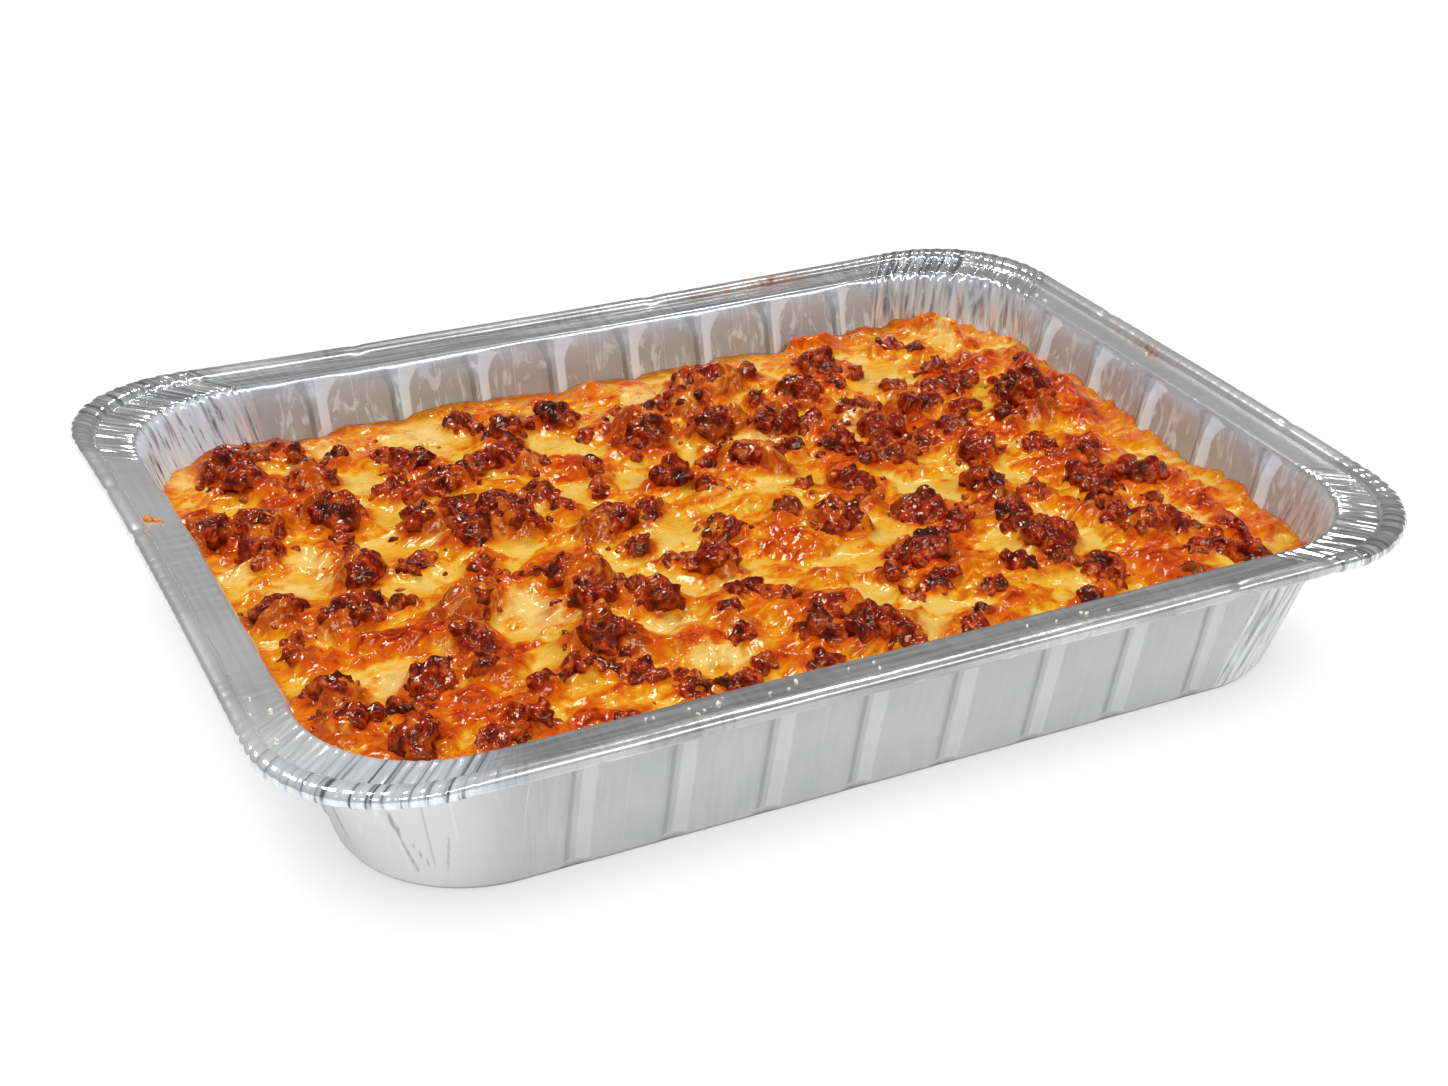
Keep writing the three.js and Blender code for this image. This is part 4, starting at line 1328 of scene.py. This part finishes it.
# ---------- materials ----------
class Nodes:
    """Short calls for building a node tree."""

    def __init__(self, tree):
        self.tree = tree
        tree.nodes.clear()

    def put(self, socket, value):
        """Links an output to the socket, or sets the socket itself."""
        if isinstance(value, bpy.types.NodeSocket):
            self.tree.links.new(value, socket)
        else:
            socket.default_value = value

    def node(self, kind, inputs, **settings):
        """A new node, its inputs given by name or number."""
        node = self.tree.nodes.new("ShaderNode" + kind)
        for name, value in settings.items():
            setattr(node, name, value)
        for name, value in inputs.items():
            self.put(node.inputs[name], value)
        return node

    def math(self, kind, a, b, clamp=False):
        return self.node("Math", {0: a, 1: b}, operation=kind, use_clamp=clamp).outputs[0]

    def times(self, a, b, clamp=False):
        return self.math("MULTIPLY", a, b, clamp)

    def scaled(self, value, from_low, from_high, to_low=0.0, to_high=1.0, **settings):
        inputs = {0: value, 1: from_low, 2: from_high, 3: to_low, 4: to_high}
        return self.node("MapRange", inputs, **settings).outputs[0]


class Maker(Nodes):
    """A material round one Principled shader, with short calls for its patterns."""

    def __init__(self, name):
        self.material = bpy.data.materials.new(name)
        self.material.use_nodes = True
        super().__init__(self.material.node_tree)
        self.shader = self.node("BsdfPrincipled", {})
        self.node("OutputMaterial", {0: self.shader.outputs[0]})
        self.place = self.node("TexCoord", {}).outputs["Object"]

    def set(self, **values):
        for name, value in values.items():
            self.put(self.shader.inputs[name.replace("_", " ")], value)

    def attribute(self, name):
        return self.node("Attribute", {}, attribute_name=name).outputs["Fac"]

    def height(self):
        """Height above the floor in metres."""
        return self.node("SeparateXYZ", {0: self.place}).outputs["Z"]

    def texture(self, place, scale, detail, roughness, distortion):
        inputs = {"Vector": place, "Scale": scale, "Detail": detail, "Roughness": roughness}
        return self.node("TexNoise", {**inputs, "Distortion": distortion}).outputs["Fac"]

    def noise(self, size_mm, detail=2.0, roughness=0.5, distortion=0.0, stretch=None):
        place = self.place
        if stretch:
            place = self.node("Mapping", {"Vector": place, "Scale": stretch}).outputs[0]
        return self.texture(place, 1000.0 / size_mm, detail, roughness, distortion)

    def wrinkles(self, size_mm):
        """Ridges across the sheet, which follow the way round the tray."""
        return self.sheet_noise(size_mm, self.times(self.height(), 60.0))

    def streaks(self, size_mm, width_mm):
        """Bands along the edge of the flange."""
        return self.sheet_noise(size_mm, self.times(self.attribute("across"), 1.0 / width_mm))

    def sheet_noise(self, size_mm, other):
        """Noise by the way round the tray and one other coordinate."""
        around = self.times(self.attribute("around"), 1.0 / size_mm)
        place = self.node("CombineXYZ", {0: around, 1: other}).outputs[0]
        return self.texture(place, 1.0, 2.0, 0.5, 0.25)

    def spots(self, size_mm):
        inputs = {"Vector": self.place, "Scale": 1000.0 / size_mm}
        return self.node("TexVoronoi", inputs).outputs["Distance"]

    def broken(self, name, pattern, low, high, least=0.0, most=1.0):
        """An attribute broken up by a pattern."""
        return self.times(self.attribute(name), self.scaled(pattern, low, high, least, most), True)

    def ramp(self, value, *stops):
        """Colours given as sRGB 0 to 255, each with its place from 0 to 1."""
        node = self.node("ValToRGB", {0: value})
        band = node.color_ramp
        while len(band.elements) < len(stops):
            band.elements.new(0.5)
        for element, (position, colour) in zip(band.elements, stops):
            element.position = position
            element.color = linear(colour)
        return node.outputs[0]

    def mix(self, share, *colours):
        """The first colour with the second over it, each an output or sRGB 0 to 255."""
        under, over = (linear(c) if isinstance(c, tuple) else c for c in colours)
        return self.node("Mix", {"Factor": share, 6: under, 7: over}, data_type="RGBA").outputs[2]

    def bump(self, height, depth_mm, below=None):
        node = self.node("Bump", {"Strength": 1.0, "Distance": depth_mm * MM, "Height": height})
        if below is not None:
            self.put(node.inputs["Normal"], below)
        return node.outputs[0]


def linear(colour):
    """sRGB 0 to 255 as the linear colour with alpha that a socket takes."""
    share = np.array(colour) / 255.0
    value = np.where(share <= 0.04045, share / 12.92, ((share + 0.055) / 1.055) ** 2.4)
    return (*value.tolist(), 1.0)


def foil_material():
    m = Maker("creased_foil")
    gather, inner, wall = (m.attribute(name) for name in ("gather", "inner", "wall"))
    off_wall = m.scaled(wall, 0, 1, 1, 0)
    metal = m.ramp(m.noise(22, 3, 0.55), (0.3, (186, 187, 188)), (0.7, (196, 196, 196)))

    # pleats show as painted highlight and painted shade in bright and dark lines, faint ones on the
    # straight sides too
    pleats = m.wrinkles(2.1)
    pleat_highlight_and_shade = m.ramp(
        pleats,
        (0.3, (96, 96, 98)), (0.4, (164, 165, 167)), (0.5, (216, 217, 219)), (0.58, (250, 251, 252)),
    )
    faint = m.times(m.scaled(m.noise(24, 2), 0.42, 0.58, 0.08, 0.34), m.scaled(wall, 0, 1, 1, 0.16))
    metal = m.mix(m.math("MAXIMUM", gather, faint), metal, pleat_highlight_and_shade)
    # the inner walls are painted a cool grey, a painted reflection that offsets the warm light they pick
    # up from the food
    hushed = m.times(inner, m.scaled(gather, 0, 1, 0.45, 0.1))
    metal = m.mix(hushed, metal, (158, 182, 178))
    # painted light on the crushed corners on the left: a pale colour, with painted highlight and painted
    # shade as streaks along the pleats
    pale = m.attribute("pale")
    streaky = m.math("MAXIMUM", inner, off_wall)
    streaks = m.ramp(pleats, (0.38, (80, 88, 102)), (0.45, (232, 239, 248)), (0.6, (250, 252, 255)))
    metal = m.mix(pale, metal, m.mix(m.times(streaky, 0.95), (236, 236, 236), streaks))

    # painted sheen and shade in bands along the straight flanges, painted reflections as wisps on the
    # inner walls, and plain painted light on the side flanges and painted shade on the front flange
    sheen_and_shade_bands = m.ramp(
        m.streaks(34, 1.5),
        (0.36, (112, 112, 114)), (0.48, (190, 190, 191)), (0.62, (250, 250, 250)),
    )
    metal = m.mix(m.times(m.scaled(gather, 0.3, 0.7, 0.4, 0.0), off_wall), metal, sheen_and_shade_bands)
    reflection_wisp = m.scaled(m.noise(5, 4, 0.6, 1.4, (1.0, 1.0, 0.3)), 0.52, 0.62, 0.0, 0.8)
    metal = m.mix(m.times(reflection_wisp, inner), metal, (228, 244, 252))
    metal = m.mix(m.times(m.attribute("side"), 0.75), metal, (244, 244, 244))
    metal = m.mix(m.times(m.attribute("front"), 0.4), metal, (160, 160, 160))

    # painted highlight on the side of a rib towards the right, and painted shade on the other one
    flare = m.times(inner, m.scaled(m.height(), 0.039, 0.046, 0.0, 0.55))
    rib = m.times(m.attribute("rib"), m.scaled(flare, 0, 1, 1, 0))
    lit = m.times(m.scaled(rib, 0.4, 0.9), m.scaled(rib, 4.2, 3.7), True)
    dark = m.times(m.scaled(rib, -2.6, -2.2), m.scaled(rib, -0.7, -1.1), True)
    bright = m.mix(inner, (250, 250, 250), (232, 246, 252))
    metal = m.mix(m.times(lit, m.scaled(inner, 0, 1, 0.26, 1.0)), metal, bright)
    metal = m.mix(m.times(dark, m.scaled(inner, 0, 1, 0.3, 0.6)), metal, (104, 108, 108))
    # painted shade in the groove between the bead and the flange
    groove = m.attribute("groove")
    metal = m.mix(m.times(groove, 0.6), metal, (120, 124, 128))

    # painted shade and painted highlight along the single creases, painted light on the upper part of the
    # inner walls, which faces the light, and painted shade at the dark foot
    crease = m.attribute("crease")
    metal = m.mix(m.scaled(crease, 0.1, 0.3, 0.0, 0.6), metal, (120, 120, 122))
    metal = m.mix(m.scaled(crease, -0.1, -0.3, 0.0, 0.4), metal, (252, 252, 252))
    upper = m.times(m.scaled(m.height(), 0.035, 0.045, 0.0, 0.45), inner)
    metal = m.mix(upper, metal, (224, 238, 255))
    metal = m.mix(m.scaled(m.height(), 0.0004, 0.002, 0.6, 0.0), metal, (70, 70, 72))

    # fat splashed on the inner walls with a painted reflection of the food, and marks baked on the flange
    splash_and_reflection = m.broken("splash_and_reflection", m.noise(6, 3, 0.6), 0.35, 0.75, 0.0, 0.5)
    stain = m.broken("stain", m.noise(2.2, 3, 0.6), 0.35, 0.6)
    m.set(Base_Color=m.mix(stain, m.mix(splash_and_reflection, metal, (214, 142, 96)), (150, 84, 40)))

    shine = m.math("ADD", m.scaled(gather, 0, 1, 0.62, 0.76), m.scaled(inner, 0, 1, 0, -0.42))
    for place, loss in ((m.times(pale, streaky), 0.36), (m.times(lit, inner), 0.24)):
        shine = m.math("SUBTRACT", shine, m.times(place, loss), True)
    shine = m.times(shine, m.scaled(groove, 0, 1, 1, 0.3))
    m.set(Metallic=m.times(shine, m.scaled(stain, 0, 1, 1, 0.3)))
    on_wall = m.times(wall, m.scaled(gather, 0, 1, 0.14, 0.0))
    on_bead = m.times(m.attribute("bead"), m.scaled(gather, 0.2, 0.8, 0.07, -0.06))
    rough = m.math("ADD", m.scaled(gather, 0, 1, 0.22, 0.14), on_wall)
    m.set(Roughness=m.math("ADD", rough, on_bead))
    waves = m.bump(m.noise(9, 2, 0.5, 0.4), 0.06)
    m.set(Normal=m.bump(m.times(pleats, m.scaled(gather, 0, 1, 0.06, 1.0)), 0.3, waves))
    return m.material


def cheese_material():
    m = Maker("baked_cheese")
    mottle = m.noise(1.9, 3, 0.65, 0.6)
    pool = m.attribute("pool")
    rough = m.scaled(pool, 0.0, 1.0, 1.0, 0.5)
    stir = m.times(m.scaled(m.noise(6.5, 4, 0.6, 1.6, (1.0, 1.9, 1.0)), 0.25, 0.75, -0.2, 0.2), rough)
    fleck = m.times(m.scaled(mottle, 0.3, 0.7, -0.08, 0.08), rough)
    drift = m.times(m.scaled(m.noise(11, 2, 0.5, 0.8), 0.3, 0.7, -0.13, 0.05), pool)
    tone = m.math("ADD", m.math("ADD", m.attribute("tone"), drift), m.math("ADD", stir, fleck), True)
    body = m.ramp(
        tone,
        (0.0, (234, 196, 100)), (0.15, (232, 174, 46)), (0.3, (228, 146, 12)), (0.45, (218, 113, 3)),
        (0.6, (214, 88, 2)), (0.75, (182, 54, 1)), (0.88, (138, 30, 0)), (1.0, (80, 12, 0)),
    )
    body = m.mix(m.broken("cream", tone, 0.1, 0.5, 0.8, 0.0), body, (240, 202, 122))
    oil = m.broken("oil", m.noise(5, 2, 0.5, 0.8), 0.35, 0.6, 0.1, 0.85)
    oiled = m.mix(oil, body, (200, 78, 8))

    # mince that shows through the film of cheese over it, and pepper
    film = m.broken("film", m.noise(5, 3, 0.6, 1.0), 0.36, 0.6, 0.3, 0.95)
    meat = m.ramp(
        m.noise(3.6, 3, 0.6, 0.8),
        (0.32, (130, 30, 2)), (0.5, (190, 84, 12)), (0.66, (228, 152, 48)),
    )
    pepper = m.scaled(m.spots(3.1), 0.05, 0.11, 0.75, 0.0)
    specks = m.times(pepper, m.scaled(m.noise(9, 1), 0.52, 0.62), True)
    m.set(Base_Color=m.mix(specks, m.mix(film, oiled, meat), (110, 42, 12)))
    m.set(Roughness=m.scaled(mottle, 0.3, 0.7, 0.04, 0.12))
    m.set(Subsurface_Weight=0.12, Subsurface_Scale=0.002, Subsurface_Radius=(1.0, 0.5, 0.2))
    m.set(Specular_IOR_Level=0.34, Specular_Tint=(1.0, 0.94, 0.72, 1.0))
    shallow = m.bump(m.noise(3.0, 2, 0.5, 0.6), 0.3)
    m.set(Normal=m.bump(m.noise(1.0, 1, 0.5), 0.045, shallow))
    return m.material


def mince_material():
    m = Maker("browned_mince")
    meat = m.ramp(
        m.noise(3.0, 3, 0.6, 0.3),
        (0.32, (66, 5, 0)), (0.42, (118, 18, 1)), (0.5, (152, 32, 3)), (0.58, (182, 60, 10)),
        (0.7, (212, 112, 34)),
    )
    cover = m.broken("glaze", m.noise(3.4, 3, 0.6), 0.44, 0.62, 0.0, 0.85)
    # painted shade darkens the hollows, over the meat and its glaze
    sunk = m.mix(m.times(m.attribute("hollow_shade"), 0.85), m.mix(cover, meat, (204, 92, 16)), (46, 6, 2))
    char = m.broken("char", m.noise(2.4, 2, 0.6), 0.4, 0.6, 0.2, 1.0)
    m.set(Base_Color=m.mix(char, sunk, (30, 10, 6)))
    m.set(Roughness=m.scaled(m.noise(1.4, 2), 0.3, 0.7, 0.05, 0.15))
    m.set(Subsurface_Weight=0.08, Subsurface_Scale=0.001, Subsurface_Radius=(1.0, 0.35, 0.15))
    m.set(Specular_IOR_Level=0.42, Specular_Tint=(1.0, 0.9, 0.68, 1.0))
    coarse = m.bump(m.noise(2.0, 2, 0.5), 0.3)
    m.set(Normal=m.bump(m.noise(0.7, 1, 0.5), 0.05, coarse))
    return m.material


def speck_material():
    m = Maker("dried_specks")
    tint = m.scaled(m.noise(1.2, 2), 0.3, 0.7, 0.0, 0.4)
    pale = m.mix(tint, (250, 248, 240), (236, 222, 196))
    m.set(Base_Color=m.mix(m.attribute("orange"), pale, (232, 146, 44)))
    m.set(Roughness=0.3, Specular_IOR_Level=0.4)
    return m.material


def floor_material():
    """White, with painted contact shadow: its glow dims close to what stands on it."""
    m = Maker("pale_floor")
    shade = m.node("AmbientOcclusion", {"Distance": 0.022}, samples=16)
    m.set(Base_Color=m.ramp(m.noise(900, 1), (0.4, (92, 92, 92)), (0.6, (94, 94, 94))))
    m.set(Roughness=0.9, Specular_IOR_Level=0.1)
    m.set(Emission_Color=(1.0, 1.0, 1.0, 1.0))
    m.set(Emission_Strength=m.scaled(shade.outputs["AO"], 0.3, 1.0, 0.68, 0.97))
    return m.material


# ---------- the scene ----------
def dress(obj, material, slot, *nodes):
    obj.data.materials.clear()
    obj.data.materials.append(material)
    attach(obj, "root")
    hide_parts(*nodes)


FLOOR_HALF = 30.0  # metres, beyond what a low view shows


def build_floor():
    corners = FLOOR_HALF * np.array([[-1, -1, 0], [1, -1, 0], [1, 1, 0], [-1, 1, 0]])
    floor = new_object("floor", corners, np.array([[0, 1, 2, 3]]))
    floor.data.materials.append(floor_material())


# place and size in metres and power in watts; each light faces the middle of the tray's base
LIGHTS = (
    ("key", (-0.35, 0.6, 1.2), (0.34, 0.34), 9.4),
    ("second", (0.55, 0.5, 1.15), (0.2, 0.2), 2.7),
    ("left", (-0.5, -0.7, 0.9), (0.3, 0.3), 2.2),
    ("front", (0.3, -0.85, 0.8), (1.1, 0.14), 5.2),
)
WORLD_GREY = 0.26
CARD_GREY = 0.11  # of the darker part of the world, above and behind


def build_lights():
    for name, place, size, power in LIGHTS:
        light = bpy.data.lights.new(name, "AREA")
        light.shape = "RECTANGLE"
        light.size, light.size_y = size
        light.energy = power
        obj = bpy.data.objects.new(name, light)
        obj.location = place
        obj.rotation_euler = (-Vector(place)).to_track_quat("-Z", "Y").to_euler()
        bpy.context.scene.collection.objects.link(obj)


def build_world():
    world = bpy.data.worlds.new("studio")
    world.use_nodes = True
    tree = Nodes(world.node_tree)

    def band(direction, low, high, soft):
        """1 where one part of the direction lies between low and high."""
        edges = ((low, low + soft), (high, high - soft))
        rise, fall = (tree.scaled(direction, *edge, interpolation_type="SMOOTHSTEP") for edge in edges)
        return tree.times(rise, fall)

    split = tree.node("SeparateXYZ", {0: tree.node("TexCoord", {}).outputs["Generated"]})
    card = tree.times(band(split.outputs["Z"], -0.2, 0.72, 0.2), band(split.outputs["Y"], -0.4, 2.0, 0.5))
    background = tree.node("Background", {0: tree.scaled(card, 0, 1, WORLD_GREY, CARD_GREY)})
    tree.node("OutputWorld", {0: background.outputs[0]})
    bpy.context.scene.world = world
    bpy.context.scene.view_settings.view_transform = "Standard"


CAMERA_PLACE = (-242.62, -510.84, 321.96)
CAMERA_YAW = 25.5516  # degrees from +Y towards +X
CAMERA_PITCH = 27.9614  # degrees down
CAMERA_ROLL = 0.1207
CAMERA_LENS = 54.81


def build_camera():
    yaw, pitch, roll = (math.radians(a) for a in (CAMERA_YAW, CAMERA_PITCH, CAMERA_ROLL))
    ahead = Vector((math.sin(yaw) * math.cos(pitch), math.cos(yaw) * math.cos(pitch), -math.sin(pitch)))
    level = Vector((math.cos(yaw), -math.sin(yaw), 0))
    upright = level.cross(ahead)
    right = math.cos(roll) * level + math.sin(roll) * upright
    up = -math.sin(roll) * level + math.cos(roll) * upright
    data = bpy.data.cameras.new("camera")
    data.lens = CAMERA_LENS
    data.sensor_width = 36
    camera = bpy.data.objects.new("camera", data)
    turn = Matrix((right, up, -ahead)).transposed().to_4x4()
    camera.matrix_world = Matrix.Translation(Vector(CAMERA_PLACE) * MM) @ turn
    bpy.context.scene.collection.objects.link(camera)
    bpy.context.scene.camera = camera


build_camera()
build_lights()
build_world()
build_floor()
mince_finish = mince_material()
dress(build_tray(), foil_material(), "foil", "tray")
dress(build_bake(), cheese_material(), "cheese", "bake")
dress(build_mince(), mince_finish, "mince", *sorted(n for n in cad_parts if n.startswith("mince_")))
dress(build_crumbs(), mince_finish, "mince", "bake")
dress(build_specks(), speck_material(), "cheese", "bake")
